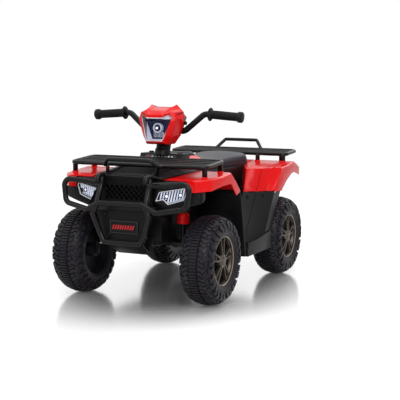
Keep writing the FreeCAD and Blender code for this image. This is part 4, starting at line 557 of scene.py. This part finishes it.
def on_shoulder(distance, lift):
    """The point a distance out along the shoulder, raised off it."""
    left = distance
    for (u0, r0), (u1, r1) in zip(SHOULDER, SHOULDER[1:]):
        run = math.hypot(u1 - u0, r1 - r0)
        if left <= run or (u1, r1) == SHOULDER[-1]:
            share = left / run
            along = (u0 + (u1 - u0) * share, r0 + (r1 - r0) * share)
            return along[0] - (r1 - r0) / run * lift, along[1] + (u1 - u0) / run * lift
        left -= run


def tread_block(edges, relief):
    """A block on the shoulder: edges lists (distance out, start, end) along the tread, in millimetres."""
    points, faces = [], []
    for row, (distance, start, end) in enumerate(edges):
        # both ends slope, and the block sinks into the sidewall
        rise = relief * (0.55 if row in (0, len(edges) - 1) else 1)
        rise *= 1 - max(0, distance - SINK_START) / SINK_RUN
        for around, lift in ((start, -1.0), (start + 1.0, rise), (end - 1.0, rise), (end, -1.0)):
            along, radius = on_shoulder(distance, lift)
            angle = around / TREAD_RADIUS
            points.append((along, radius * math.sin(angle), radius * math.cos(angle)))
    for row in range(0, len(points) - 4, 4):
        faces += [(row + i, row + (i + 1) % 4, row + 4 + (i + 1) % 4, row + 4 + i) for i in range(4)]
    last = len(points) - 4
    faces += [(0, 1, 2, 3), (last, last + 1, last + 2, last + 3)]
    return solid("block", points, faces)


def tread_blocks():
    """The shoulder's wavy blocks and the lugs at its edge, one set per pitch."""
    sets = 14
    pitch = 2 * math.pi * TREAD_RADIUS / sets

    def run(first, last, start, end, phase):
        """A block from one distance out to another, which snakes as it goes."""
        rows = []
        for t in range(first, last + 1, 2):
            shift = 4.6 * math.sin(t / 26 * 2 * math.pi + phase) + t * 0.12
            rows.append((t, start + shift, end + shift))
        return rows

    shapes = [(run(0, 16, 0, 13.5, 0.0), 5), (run(0, 28, 16.4, 31.5, 0.0), 5),
              (run(18, 32, -2, 13, 0.4), 5), (run(0, 22, 36, 48, 0.6), 5), (run(24, 34, 34, 49, 0.6), 5),
              (run(0, 30, 51, pitch - 4.2, 0.6), 5), (run(35, 62, 3, 25, 0.2), 7),
              (run(37, 66, 33, 54, 0.2), 7)]
    blocks = []
    for edges, relief in shapes:
        block = tread_block(edges, relief)
        other = moved(block, Matrix.Rotation(math.pi / sets, 4, "X") @ MIRROR)
        blocks += [ring_of(block, sets, TREAD_PE), ring_of(other, sets, TREAD_PE)]
    return blocks


def make_wheel():
    """One wheel about X, its outer side at +X: the moulded tyre and its spoked cover."""
    side = SHOULDER + [(56.8, 103), (55.5, 97), (52.5, 91)]
    band = [(15.4, 145.6), (13.6, 145.6), (13.4, 149.4)]
    half = band[::-1] + side
    profile = [(-44.5, 6.1), (-44.5, 22), (-15, 24), (-15, 81), (-17, 82), (-50, 85.5)]
    profile += [(-u, r) for u, r in reversed(half)] + [(0, 150)] + half
    profile += [(51, 88), (50, 86.2), (28, 86.2), (28, 6.1)]
    carcass = turned("carcass", profile, 144)
    rib = pressed("rib", [(-12.6, -2.8), (12.6, -2.8), (12.6, 2.8), (-12.6, 2.8)], 148, 154.8, lying)
    ribs = ring_of(evaluated(rib, rounded(0.9, 2)), 92, TREAD_PE)
    bead = turned("bead_line", [(56.8, 99), (57.6, 101), (57.4, 103.4), (56, 103)], 120)
    tyre = smooth(joined("tyre", carcass, ribs, bead, *tread_blocks()), 32)
    # cover: a bowl in painted shade behind the spokes, spokes, a lip with a painted highlight, cap and nuts
    bowl = turned("bowl", [(28.2, 12), (28.2, 85.4), (46, 85.4), (46, 80.5), (31, 77), (30, 12)], 96)
    lip = turned("lip", [(44, 81.6), (44, 85.6), (48.4, 85.6), (49.6, 84.8), (49.6, 83.4), (48, 81.8)], 96)

    def leaning(across, depth, out):
        """An arm stands further out at its foot than at its tip."""
        return depth + (3.2 if out < 40 else 0), across, out

    arms = []
    for sign in (1, -1):
        foot, tip, wide = 4.6 * sign, 14.5 * sign, 3.1
        shape = [(foot - wide, 20), (foot + wide, 20), (tip + wide * 0.8, 79.5), (tip - wide * 0.8, 79.5)]
        arms.append(pressed("arm", shape, 33, 44.5, leaning))
    bridge = [(-9, 44), (9, 44), (10.5, 51), (-10.5, 51)]
    arms.append(pressed("bridge", bridge, 33, 41, sideways))
    spokes = ring_of(evaluated(joined("arm", *arms), rounded(1.4, 3)), 5, RIM_LACQUER)
    hoop = turned("hoop", [(32, 76.5), (42, 78.5), (45.2, 81.2), (44.6, 81.8), (40, 80.4), (31, 78.5)], 96)
    cap = turned("cap", [(31, 0.01), (31, 25.5), (44, 24.5), (47.2, 22.5), (47.6, 17), (49, 15.5), (50, 12),
                         (50, 0.01)], 60)
    nut = turned("nut", [(46.8, 0.01), (50.2, 0.01), (50.2, 1.8), (49.8, 2.4), (46.8, 2.6)], 6)
    nut.transform(place_at(0, 0, 19.8))
    face = smooth(joined("face", spokes, hoop, cap), 32)
    return {"tyre": (tyre, TREAD_PE, "tyre"), "bowl": (smooth(bowl), BLACK_PAINTED_SHADE, "rim"),
            "spokes": (face, RIM_LACQUER, "rim"), "lip": (smooth(lip), RIM_LIP_PAINTED_HIGHLIGHT, "rim"),
            "nuts": (smooth(ring_of(nut, 5, RIM_LIP_PAINTED_HIGHLIGHT)), RIM_LIP_PAINTED_HIGHLIGHT, "rim")}


def make_wheels():
    """The same wheel at each corner, its outer side out."""
    parts = make_wheel()
    for corner, side, y in (("front_left", 1, FRONT_Y), ("front_right", -1, FRONT_Y),
                            ("rear_left", 1, REAR_Y), ("rear_right", -1, REAR_Y)):
        turn = Matrix.Rotation(0 if side > 0 else math.pi, 4, "Z")
        where = place_at(side * WHEEL_X, y, AXLE_Z) @ turn
        for name, (mesh, material, slot) in parts.items():
            stands_for = {"tyre": [f"tyre_{corner}"], "spokes": [f"wheel_cover_{corner}"]}.get(name, [])
            piece(f"{name}_{corner}_visual", moved(mesh, where), material, f"wheel_{corner}", slot,
                  *stands_for)


# Headlights: a smoked back, slanted fins with a painted glow, two diodes in cups and a silver trim

LENS = [(19, 395), (6, 363), (32, 369.5), (49, 353), (103, 369), (116, 403), (110, 410.5)]
LAMP_YAW = math.radians(12)


def in_lamp(across, depth, up):
    """From the left headlight's own frame to the quad's."""
    return (99.6 + across * math.cos(LAMP_YAW) - depth * math.sin(LAMP_YAW),
            -478 + across * math.sin(LAMP_YAW) + depth * math.cos(LAMP_YAW), up)


def make_headlights():
    """The left headlight's inside and its mirror image."""
    back = pressed("lamp_back", inset(LENS, 1.2), 17, 25, in_lamp)
    piece("lamp_backs", smooth(paired(back)), SMOKE, "chassis", "reflector", "headlight_reflectors")
    # each fin is as tall as the lens is where it stands
    field, lean, middle, pitch, half = inset(LENS, 2.4), 0.22, 385, 9.4, 2.3
    fins = []
    for step in range(13):
        across = 4 + step * pitch
        inside = [z - middle for z in range(352, 412) if within(field, across + (z - middle) * lean, z)]
        if len(inside) > 7:
            low, high = inside[0], inside[-1]
            corners = ((-half, low), (half, low), (half, high), (-half, high))
            line = [(across + side + up * lean, up + middle) for side, up in corners]
            fins.append(pressed("fin", line, 13, 17.5, in_lamp))
    fins = evaluated(joined("lamp_fins", *fins), rounded(0.6, 2))
    piece("lamp_fins", smooth(paired(fins)), FIN_PAINTED_GLOW, "chassis", "reflector")
    trim = framed("lamp_trim", inset(LENS, -1.5), inset(LENS, 2.2), 1.5, 5, in_lamp)
    piece("lamp_trims", smooth(paired(evaluated(trim, rounded(0.7, 2)))), SILVER, "chassis", "reflector")
    sill = pressed("lamp_sill", [(46, 356.5), (102, 371), (103, 376), (47, 361.5)], 9.5, 17, in_lamp)
    piece("lamp_sills", smooth(paired(sill)), SILVER, "chassis", "reflector")
    cheek = [(157, 358), (164, 360.5), (170, 372), (170, 396.5), (157, 396.5)]
    cheek = evaluated(pressed("lamp_cheek", cheek, 4, 34, in_lamp), rounded(1.5, 2))
    piece("lamp_cheeks", smooth(paired(cheek)), BLACK_PP, "chassis", "black_plastic")
    cups, diodes = [], []
    facing = Matrix.Rotation(LAMP_YAW - math.pi / 2, 4, "Z")
    for across, up in ((41, 380), (89, 385)):
        spot = place_at(*in_lamp(across, 17.5, up)) @ facing
        cups.append(moved(turned("cup", [(0, 3), (0, 7.4), (7, 7.4), (7, 6.4), (4, 5.2), (2, 3)], 40), spot))
        diodes.append(moved(turned("diode", [(1, 0.01), (1, 5), (4, 4.6), (6, 3.2), (7, 0.01)], 28), spot))
    piece("lamp_cups", smooth(paired(joined("lamp_cups", *cups))), SMOKE, "chassis", "reflector")
    piece("lamp_diodes", smooth(paired(joined("lamp_diodes", *diodes))), DIODE, "chassis", "reflector")


# The pod's lamp: a deep fluted cup with a smoked floor, a projector in it and a pale gasket round it

POD_LENS = [(31, 553), (62, 638), (50, 645), (31, 635.5), (28, 634)]
POD_MIDDLE, POD_FLOOR = 598, -242


def pod_face(x):
    """Where the pod's lens stands at a distance from the middle."""
    return -283 + max(0, abs(x) - 31) * 0.771


def make_pod_lamp():
    """The lamp behind the pod's lens, from its gasket to its diode."""
    line = POD_LENS + [(-x, z) for x, z in reversed(POD_LENS)]
    gasket = piped("pod_gasket", [(x, pod_face(x) - 0.4, z) for x, z in line], 1.5, closed=True)
    piece("pod_gasket", smooth(gasket), SILVER, "steering", "reflector")

    def shrunk(share):
        """The lens outline drawn in towards its middle, at the cup's floor."""
        return [(x * share, POD_MIDDLE + (z - POD_MIDDLE) * share) for x, z in line]

    mouths = [[(x, pod_face(x) + 5, z) for x, z in edge] for edge in (line, inset(line, 1.4))]
    floors = [[(x, POD_FLOOR, z) for x, z in shrunk(share)] for share in (0.92, 0.88)]
    cup = ringed("pod_cup", *mouths, *floors)
    piece("pod_cup", smooth(cup, 20), CUP_PAINTED_GLOW, "steering", "reflector")
    plate = pressed("pod_floor", shrunk(0.9), POD_FLOOR - 1, POD_FLOOR + 2.5, upright)
    piece("pod_floor", smooth(plate), SMOKE, "steering", "reflector", "pod_reflector")
    sill = pressed("sill", [(-28, 555.5), (28, 555.5), (29, 559), (-29, 559)], -278, -262, upright)
    corner = lofted("corner", [[(27, -277, 630), (47, -267, 641), (57, -258, 638), (54, -260, 630)],
                               [(27, -272, 630), (47, -262, 641), (57, -254, 638), (54, -256, 630)]])
    trims = evaluated(joined("pod_trims", sill, paired(corner)), rounded(0.5, 2))
    piece("pod_trims", smooth(trims), SILVER, "steering", "reflector")
    rib = [(-20, 564), (-18.6, 564), (-18.6, 584), (-20, 584)]
    rib = pressed("rib", rib, POD_FLOOR - 4, POD_FLOOR, upright)
    piece("pod_ribs", smooth(row_of(rib, 8, (5.4, 0, 0), SILVER)), SILVER, "steering", "reflector")
    spot = place_at(0, POD_FLOOR - 14, POD_MIDDLE) @ Matrix.Rotation(-math.pi / 2, 4, "Z")
    ring = turned("projector_ring", [(-14, 12), (-14, 17.5), (2.5, 17.5), (4, 16), (4, 14.4), (1, 12)], 56)
    piece("projector_ring", smooth(moved(ring, spot)), SILVER, "steering", "reflector")
    dome = turned("projector_dome", [(-4, 0.01), (-4, 12.2), (1, 11.8), (4.6, 8.4), (6.4, 4), (7, 0.01)], 48)
    piece("projector_dome", smooth(moved(dome, spot), 60), SMOKE, "steering", "reflector")
    lit = turned("projector_diode", [(5, 0.01), (5, 4.6), (7.4, 4), (8, 0.01)], 32)
    piece("projector_diode", smooth(moved(lit, spot), 60), DIODE, "steering", "reflector")


# Seat, grips and shock absorbers


def make_seat():
    """A moulded saddle: narrow in front, dished in the middle, with a rolled edge over a skirt."""
    front, back, last = -59, 370, 44
    half = [(front, 62), (91, 82.5), (330, 103), (back, 99)]
    top = [(front, 484), (91, 471), (330, 479), (back, 470)]
    sections = []
    for step in range(last + 1):
        y = front + (back - front) * step / last
        wide, high = between(half, y), between(top, y)
        # both ends roll over within the last four sections
        near = min(step, last - step)
        drop = (8, 3.4, 1.2, 0.3)[near] if near < 4 else 0
        wide, high = wide - drop * 0.7, high - drop
        side = [(wide - 3, 432.4), (wide - 1.2, 434), (wide - 0.6, 446), (wide - 2.6, 447.5),
                (wide - 2.6, 449), (wide - 0.4, 450.5), (wide - 1, high - 17), (wide - 3.4, high - 9.5),
                (wide - 8.5, high - 4), (wide - 16, high - 0.8), (wide - 28, high + 1.2),
                (wide * 0.45, high + 3.2), (wide * 0.2, high + 4.4)]
        sections.append([(x, y, z) for x, z in side] + [(-x, y, z) for x, z in reversed(side)])
    piece("seat_visual", smooth(lofted("seat_visual", sections), 28), SADDLE_PAINTED_SHEEN, "chassis", "seat", "seat")


def make_grips():
    """Rubber grips with rings to hold on to, a hand stop inside and a knob at the end."""
    profile = [(20, 11.2), (20, 22.5), (21.5, 24), (23.8, 24), (25.2, 22.5), (27.5, 16.6), (30, 15.6)]
    for ring in range(22):
        start = 31 + ring * 4.4
        profile += [(start, 15.5), (start + 0.6, 14.5), (start + 1.4, 14.5), (start + 2.0, 15.5)]
    profile += [(128.5, 15.5), (131, 19), (132.5, 19.5), (144, 19.5), (146.4, 17.5), (146.6, 0.01),
                (143, 0.01), (143, 11.2)]
    grip = turned("grip", profile, 56)
    grip.transform(place_at(150, -181.6, 649.4) @ Matrix.Rotation(math.radians(4), 4, "Y"))
    piece("grips_visual", smooth(paired(grip), 50), GRIP_RUBBER, "steering", "grip", "grips")


def make_shocks():
    """Mock shock absorbers: a red can with rings over a black rod."""
    stand_up = Matrix.Rotation(-math.pi / 2, 4, "Y")
    can = turned("can", [(274, 0.01), (274, 18), (275.5, 20.6), (279, 21), (289, 21), (290, 20), (292, 20),
                         (293, 21), (303, 21), (304, 20), (306, 20), (307, 21), (311, 21), (312, 20),
                         (312, 14), (318, 14), (318, 0.01)], 48)
    rod = turned("rod", [(208.2, 0.01), (208.2, 12), (213, 12), (214, 8), (270, 8), (271, 10.5),
                         (274.5, 10.5), (274.5, 0.01)], 32)
    where = place_at(144, FRONT_Y, 0) @ stand_up
    piece("shock_cans", smooth(paired(moved(can, where))), RED_ABS, "chassis", "red_plastic", "front_shocks")
    piece("shock_rods", smooth(paired(moved(rod, where))), BLACK_COAT, "chassis", "black_paint")


# Bodywork: CAD skins with the details that are too small for the solids


def make_skins():
    """Every CAD node that shows its own shape, in its finish."""
    for node in ("front_mudguard_left", "front_mudguard_right", "rear_mudguard_left", "rear_mudguard_right"):
        dressed(node, RED_ABS, "red_plastic", 1.6, 3, 20)
    dressed("tail_panel", RED_ABS, "red_plastic", 1.4, 2)
    dressed("tank_cover", RED_ABS, "red_plastic", 3.0, 3, 12)
    dressed("pod_shell", RED_ABS, "red_plastic", 2.2, 3, 14)
    for node, edge in (("chassis_tub", 2), ("centre_body", 2.5), ("bonnet", 1.4), ("nose_panel", 2),
                       ("number_plate", 1.2), ("headlight_housings", 2.5), ("dash_console", 2.5),
                       ("leg_shields", 1.6), ("footboard_left", 2), ("footboard_right", 2),
                       ("rear_leg_panel_left", 1.8), ("rear_leg_panel_right", 1.8), ("drive_units", 3),
                       ("pod_back_cover", 2), ("throttle_pedal", 1.5), ("charging_socket", 0.8)):
        dressed(node, BLACK_PP, "black_plastic", edge)
    # the grille in the darker black: painted shade in its slots
    dressed("grille", BLACK_PAINTED_SHADE, "black_plastic", 0.8)
    for node in ("power_button", "horn_button", "direction_switch"):
        dressed(node, BLACK_PP, "black_plastic", 1)
    for node in ("bumper", "front_rack", "rear_rack"):
        dressed(node, BLACK_COAT, "black_plastic", 0.6, 1, 45)
    for node in ("handlebar", "front_axle_beam", "knuckle_left", "knuckle_right", "tie_rod",
                 "steering_column"):
        dressed(node, BLACK_COAT, "black_paint", 0.5, 1, 45)
    for node in ("kingpin_bolts", "spindle_nut_left", "spindle_nut_right", "rear_axle", "rear_axle_nuts"):
        dressed(node, ZINC, "steel", 0.7, 1)
    for node in ("headlight_lenses", "pod_lens"):
        painted(node, CLEAR)
    for node in ("battery", "control_box", "steering_bushes"):
        painted(node, BLACK_PP)


def bead_on(name, node, path, radius, slot):
    """A thin dark line laid on a node's skin from place to place, and on its mirror twin: painted shade
    standing for the shade in a seam.
    """
    steps = 12
    spots = []
    for start, end in zip(path, path[1:]):
        for step in range(steps):
            spots.append(on_skin(node, Vector(start).lerp(Vector(end), step / steps))[0])
    spots.append(on_skin(node, path[-1])[0])
    piece(name, smooth(paired(piped(name, spots, radius, sides=8))), BLACK_PAINTED_SHADE, BODY_OF[node], slot)


def make_seams():
    """Seams, gaskets and plugs where the moulds meet; the seams and gaskets are dark beads of painted shade.
    """
    bead_on("panel_seams", "rear_leg_panel_left", [(226, 133, 342), (226, 20, 168)], 1.1, "black_plastic")
    bead_on("mudguard_seams", "rear_mudguard_left", [(231, 133, 350), (244, 165, 428)], 0.9, "black_plastic")
    bead_on("panel_gaskets", "rear_mudguard_left",
            [(204, 116, 344), (243, 152, 344), (270, 171, 344), (285, 177, 344), (289, 225, 341)], 1.9,
            "black_plastic")
    # the joint between the pod's brow and its cheeks, as a dark bead: painted shade in the gap
    bead_on("pod_seams", "pod_shell", [(30, -283, 640), (51, -268, 650), (66, -256, 643), (82, -204, 656)],
            1.5, "red_plastic")
    spots = [on_skin("rear_leg_panel_left", p) for p in ((202, 106, 327), (252, 142, 331))]
    studs("panel_plugs", PLUG, both(spots), "chassis", BLACK_PAINTED_SHADE, "black_plastic")


def make_shield_trim():
    """The leg shields' rolled outer edge, and their turned-over top under the mudguard's tail."""
    # the rolled edge is paler than the shields: a painted highlight along their outer edge
    edge = piped("shield_edges", [(282, -157, 370), (282, -102.5, 134)], 2.4)
    piece("shield_edges", smooth(paired(edge)), EDGE_HIGHLIGHT_PP, "chassis", "black_plastic")
    flange = [(-158, 368), (-157, 372), (-176, 380), (-178, 377)]
    flange = evaluated(pressed("shield_flanges", flange, 108, 281, sideways), rounded(0.8, 2))
    piece("shield_flanges", smooth(paired(flange)), BLACK_PP, "chassis", "black_plastic")


def make_foot_ribs():
    """Anti-slip ribs on the footboards, where the right board's stop at the pedal, and on the pedal."""
    for side, first, count in (("left", -86, 12), ("right", 6, 6)):
        inner, outer = (118, 276) if side == "left" else (-118, -276)
        rib = [(inner, first), (outer, first), (outer, first + 4), (inner, first + 4)]
        rib = evaluated(pressed("rib", rib, 161.8, 163.6, lying), rounded(0.7, 2))
        ribs = row_of(rib, count, (0, 15, 0), BLACK_PP)
        piece(f"foot_ribs_{side}", smooth(ribs), BLACK_PP, "chassis", "black_plastic")
    pedal_rib = pressed("pedal_rib", [(-218, 0), (-162, 0), (-162, 3), (-218, 3)], 0, 1.2, lying)
    tilt = place_at(0, -25, 171) @ Matrix.Rotation(math.radians(-14), 4, "X")
    pedal_rib.transform(place_at(0, -74, 4))
    row = moved(row_of(pedal_rib, 6, (0, 11, 0), GRIP_RUBBER), tilt)
    piece("pedal_ribs", smooth(row), GRIP_RUBBER, "pedal", "black_plastic")


def make_bonnet_ridges():
    """A raised middle panel and two long ridges down the bonnet's slope."""
    front, front_top, slope = -482, 443, 33 / 242

    def on_bonnet(across, lift, along):
        return across, along, front_top + (along - front) * slope + lift

    middle = pressed("bonnet_panel", [(-58, -470), (58, -470), (74, -252), (-74, -252)], -0.5, 2.6, on_bonnet)
    ridge = pressed("bonnet_ridge", [(84, -466), (92, -466), (106, -252), (98, -252)], -0.5, 3.4, on_bonnet)
    ridges = evaluated(joined("bonnet_ridges", middle, paired(ridge)), rounded(1.6, 3))
    piece("bonnet_ridges", smooth(ridges), BLACK_PP, "chassis", "black_plastic")


def make_tank_cap():
    """A rolled black cap over the tank cover's crown, from (place along, half width, height) stations."""
    stations = [(-163, 60, 499), (-160, 66, 504.5), (-150, 69, 508.5), (-128, 71, 511), (-104, 71, 508.5),
                (-90, 69, 503), (-80, 65, 496), (-77, 60, 491)]
    caps = []
    for y, wide, high in stations:
        side = [(wide - 2, 484), (wide + 2, 486), (wide + 2, high - 11), (wide - 1, high - 5),
                (wide - 7, high - 1.2), (wide - 16, high), (wide - 34, high - 2)]
        caps.append([(x, y, z) for x, z in side] + [(-x, y, z) for x, z in reversed(side)])
    piece("tank_cap", smooth(lofted("tank_cap", caps), 40), BLACK_PP, "chassis", "black_plastic")


def make_bumper_curls():
    """The bumper's uprights curl back to the bonnet."""
    x, front, bend_low, back_run, rise = 92, -520, 434, 22, 12
    path = [(x, front, 424), (x, front, bend_low)]
    for step in range(1, 7):
        angle = step * math.pi / 12
        path.append((x, front + back_run - back_run * math.cos(angle), bend_low + rise * math.sin(angle)))
    curl = piped("bumper_curls", path + [(x, -484, bend_low + rise)], 9.4, sides=24)
    piece("bumper_curls", smooth(paired(curl), 60), BLACK_COAT, "chassis", "black_plastic")


def make_plate():
    """The front plate's grey rim and a row of slanted red bars."""
    def on_plate(across, proud, up):
        return across, -503 - proud, up

    outer = [(-52, 251), (52, 251), (52, 293), (-52, 293)]
    rim = framed("plate_rim", outer, inset(outer, 1.6), -0.3, 0.5, on_plate)
    piece("plate_rim", smooth(rim), GREY_FILM, "chassis", "black_plastic")
    bar = pressed("plate_bars", [(-46, 264), (-41, 264), (-35, 279), (-40, 279)], -0.3, 0.4, on_plate)
    piece("plate_bars", smooth(row_of(bar, 9, (9.4, 0, 0), RED_FILM)), RED_FILM, "chassis", "black_plastic")


def make_dash():
    """The dash's film with a charge gauge: one red mark, then a row of pale ones."""
    def on_dash(across, proud, up):
        # the dash leans back 14 in 33
        return across, -240 + up * 14 / 33 - proud * 0.92, 472.7 + up + proud * 0.39

    film = pressed("dash_film", [(-62, 12), (62, 12), (62, 28), (-62, 28)], -0.2, 0.4, on_dash)
    piece("dash_film", smooth(film), GREY_FILM, "chassis", "black_plastic")
    low_mark = pressed("dash_ticks", [(-54, 15), (-46, 15), (-44, 24), (-52, 24)], 0.2, 0.7, on_dash)
    piece("dash_ticks", smooth(low_mark), RED_FILM, "chassis", "black_plastic")
    mark = pressed("dash_marks", [(-38, 15), (-31, 15), (-29, 24), (-36, 24)], 0.2, 0.7, on_dash)
    marks = row_of(mark, 7, (13, 0, 0), PALE_FILM)
    piece("dash_marks", smooth(marks), PALE_FILM, "chassis", "black_plastic")


def make_fasteners():
    """Screw heads under the tub, on the nose, the tail and the back of the pod."""
    tub = both([((82, y, 165), (0, 0, -1)) for y in (-150, -40, 70, 180)])
    studs("underside_screws", SCREW, tub, "chassis", ZINC, "steel")
    nose = both([on_skin("nose_panel", (78, -500, 312)), on_skin("nose_panel", (58, -500, 244))])
    studs("nose_screws", SCREW, nose, "chassis", BLACK_COAT, "black_paint")
    guards = both([on_skin("rear_mudguard_left", (200, 520, 405)), on_skin("tail_panel", (60, 500, 400))])
    studs("tail_screws", SCREW, guards, "chassis", BLACK_COAT, "black_paint")
    corners = ((40, -150, 650), (-40, -150, 650), (34, -150, 575), (-34, -150, 575))
    cover = [on_skin("pod_back_cover", p) for p in corners]
    studs("pod_screws", SCREW, cover, "steering", BLACK_COAT, "black_paint")


# Stage

# the camera of the picture: where it stands, where it looks, its roll in degrees and its lens
EYE = (1604.377, -3384.912, 748.044)
LOOK = (-0.41430232, 0.90283266, -0.11509462)
ROLL = 0.47447
LENS_MM, SENSOR_MM = 88.5813, 36


def make_camera():
    """The picture's camera, and plain colours."""
    scene = bpy.context.scene
    scene.view_settings.view_transform = "Standard"
    camera = bpy.data.objects.new("camera", bpy.data.cameras.new("camera"))
    scene.collection.objects.link(camera)
    camera.data.sensor_width = SENSOR_MM
    camera.data.lens = LENS_MM
    camera.location = Vector(EYE) * MM
    camera.rotation_mode = "QUATERNION"
    aim = Vector(LOOK).to_track_quat("-Z", "Y")
    camera.rotation_quaternion = aim @ Quaternion((0, 0, 1), math.radians(ROLL))
    camera.data.clip_end = 200
    scene.camera = camera


def make_world():
    """A plain white studio: camera, glossy and clear rays see white, and the object gets softer light."""
    world = bpy.data.worlds.new("studio")
    bpy.context.scene.world = world
    world.use_nodes = True
    tree = world.node_tree
    back = tree.nodes["Background"]
    back.inputs["Color"].default_value = (1, 1, 1, 1)
    path = add(tree, "ShaderNodeLightPath").outputs
    seen = add(tree, "ShaderNodeMath", None, {0: path["Is Camera Ray"], 1: path["Is Transmission Ray"]},
               operation="MAXIMUM")
    shine = add(tree, "ShaderNodeMath", None, {0: seen.outputs[0], 1: path["Is Glossy Ray"]},
                operation="MAXIMUM")
    level = add(tree, "ShaderNodeMapRange", {"To Min": 0.30, "To Max": 1.0}, {"Value": shine.outputs[0]})
    tree.links.new(level.outputs["Result"], back.inputs["Strength"])


def make_floor():
    """A pale floor, polished under the quad and duller away from it, where it is lifted to white."""
    reach = 60
    floor = bpy.data.meshes.new("floor")
    corners = [(-reach, -reach, 0), (reach, -reach, 0), (reach, reach, 0), (-reach, reach, 0)]
    floor.from_pydata(corners, [], [(0, 1, 2, 3)])
    ground = bpy.data.objects.new("floor", floor)
    bpy.context.scene.collection.objects.link(ground)
    paint = bpy.data.materials.new("white_gloss_floor")
    paint.use_nodes = True
    tree = paint.node_tree
    shader = tree.nodes["Principled BSDF"]
    shader.inputs["Base Color"].default_value = linear("#FAFAFA")
    shader.inputs["Roughness"].default_value = 0.16
    shader.inputs["Emission Color"].default_value = (1, 1, 1, 1)
    # the polish fades out round an oval with these half axes, in metres
    half_wide, half_long = 0.55, 0.85
    fade = {"From Min": 0.45, "From Max": 1.15}
    place = add(tree, "ShaderNodeTexCoord").outputs["Object"]
    shares = add(tree, "ShaderNodeVectorMath", {1: (1 / half_wide, 1 / half_long, 0)}, {0: place},
                 operation="MULTIPLY")
    away = add(tree, "ShaderNodeVectorMath", None, {0: shares.outputs[0]}, operation="LENGTH")
    polish = add(tree, "ShaderNodeMapRange", {**fade, "To Min": 0.8, "To Max": 0.0},
                 {"Value": away.outputs["Value"]}, interpolation_type="SMOOTHSTEP")
    tree.links.new(polish.outputs["Result"], shader.inputs["Metallic"])
    pale = add(tree, "ShaderNodeMapRange", {**fade, "To Min": 0.02, "To Max": 0.3},
               {"Value": away.outputs["Value"]}, interpolation_type="SMOOTHSTEP")
    eye = add(tree, "ShaderNodeLightPath")
    lift = add(tree, "ShaderNodeMath", None, {0: eye.outputs["Is Camera Ray"], 1: pale.outputs["Result"]},
               operation="MULTIPLY")
    tree.links.new(lift.outputs[0], shader.inputs["Emission Strength"])
    floor.materials.append(paint)


def make_lamps():
    """Four soft boxes: place, target and width in metres, and power in watts."""
    for name, place, target, size, power in (
            ("key_light", (1.9, -3.1, 2.5), (0, -0.1, 0.3), 2.2, 94),
            ("fill_light", (-2.8, -2.2, 2.2), (0, 0, 0.3), 2.4, 22),
            ("back_light", (0.6, 3.0, 2.6), (0, 0, 0.4), 2.4, 30),
            ("top_light", (0, 0, 3.6), (0, 0, 0), 2.6, 60)):
        lamp = bpy.data.lights.new(name, "AREA")
        lamp.size = size
        lamp.energy = power
        holder = bpy.data.objects.new(name, lamp)
        bpy.context.scene.collection.objects.link(holder)
        holder.location = place
        holder.rotation_mode = "QUATERNION"
        holder.rotation_quaternion = (Vector(target) - Vector(place)).to_track_quat("-Z", "Y")


make_camera()
make_world()
make_floor()
make_lamps()
make_wheels()
make_skins()
make_headlights()
make_pod_lamp()
make_seat()
make_grips()
make_shocks()
make_seams()
make_shield_trim()
make_foot_ribs()
make_bonnet_ridges()
make_tank_cap()
make_bumper_curls()
make_plate()
make_dash()
make_fasteners()
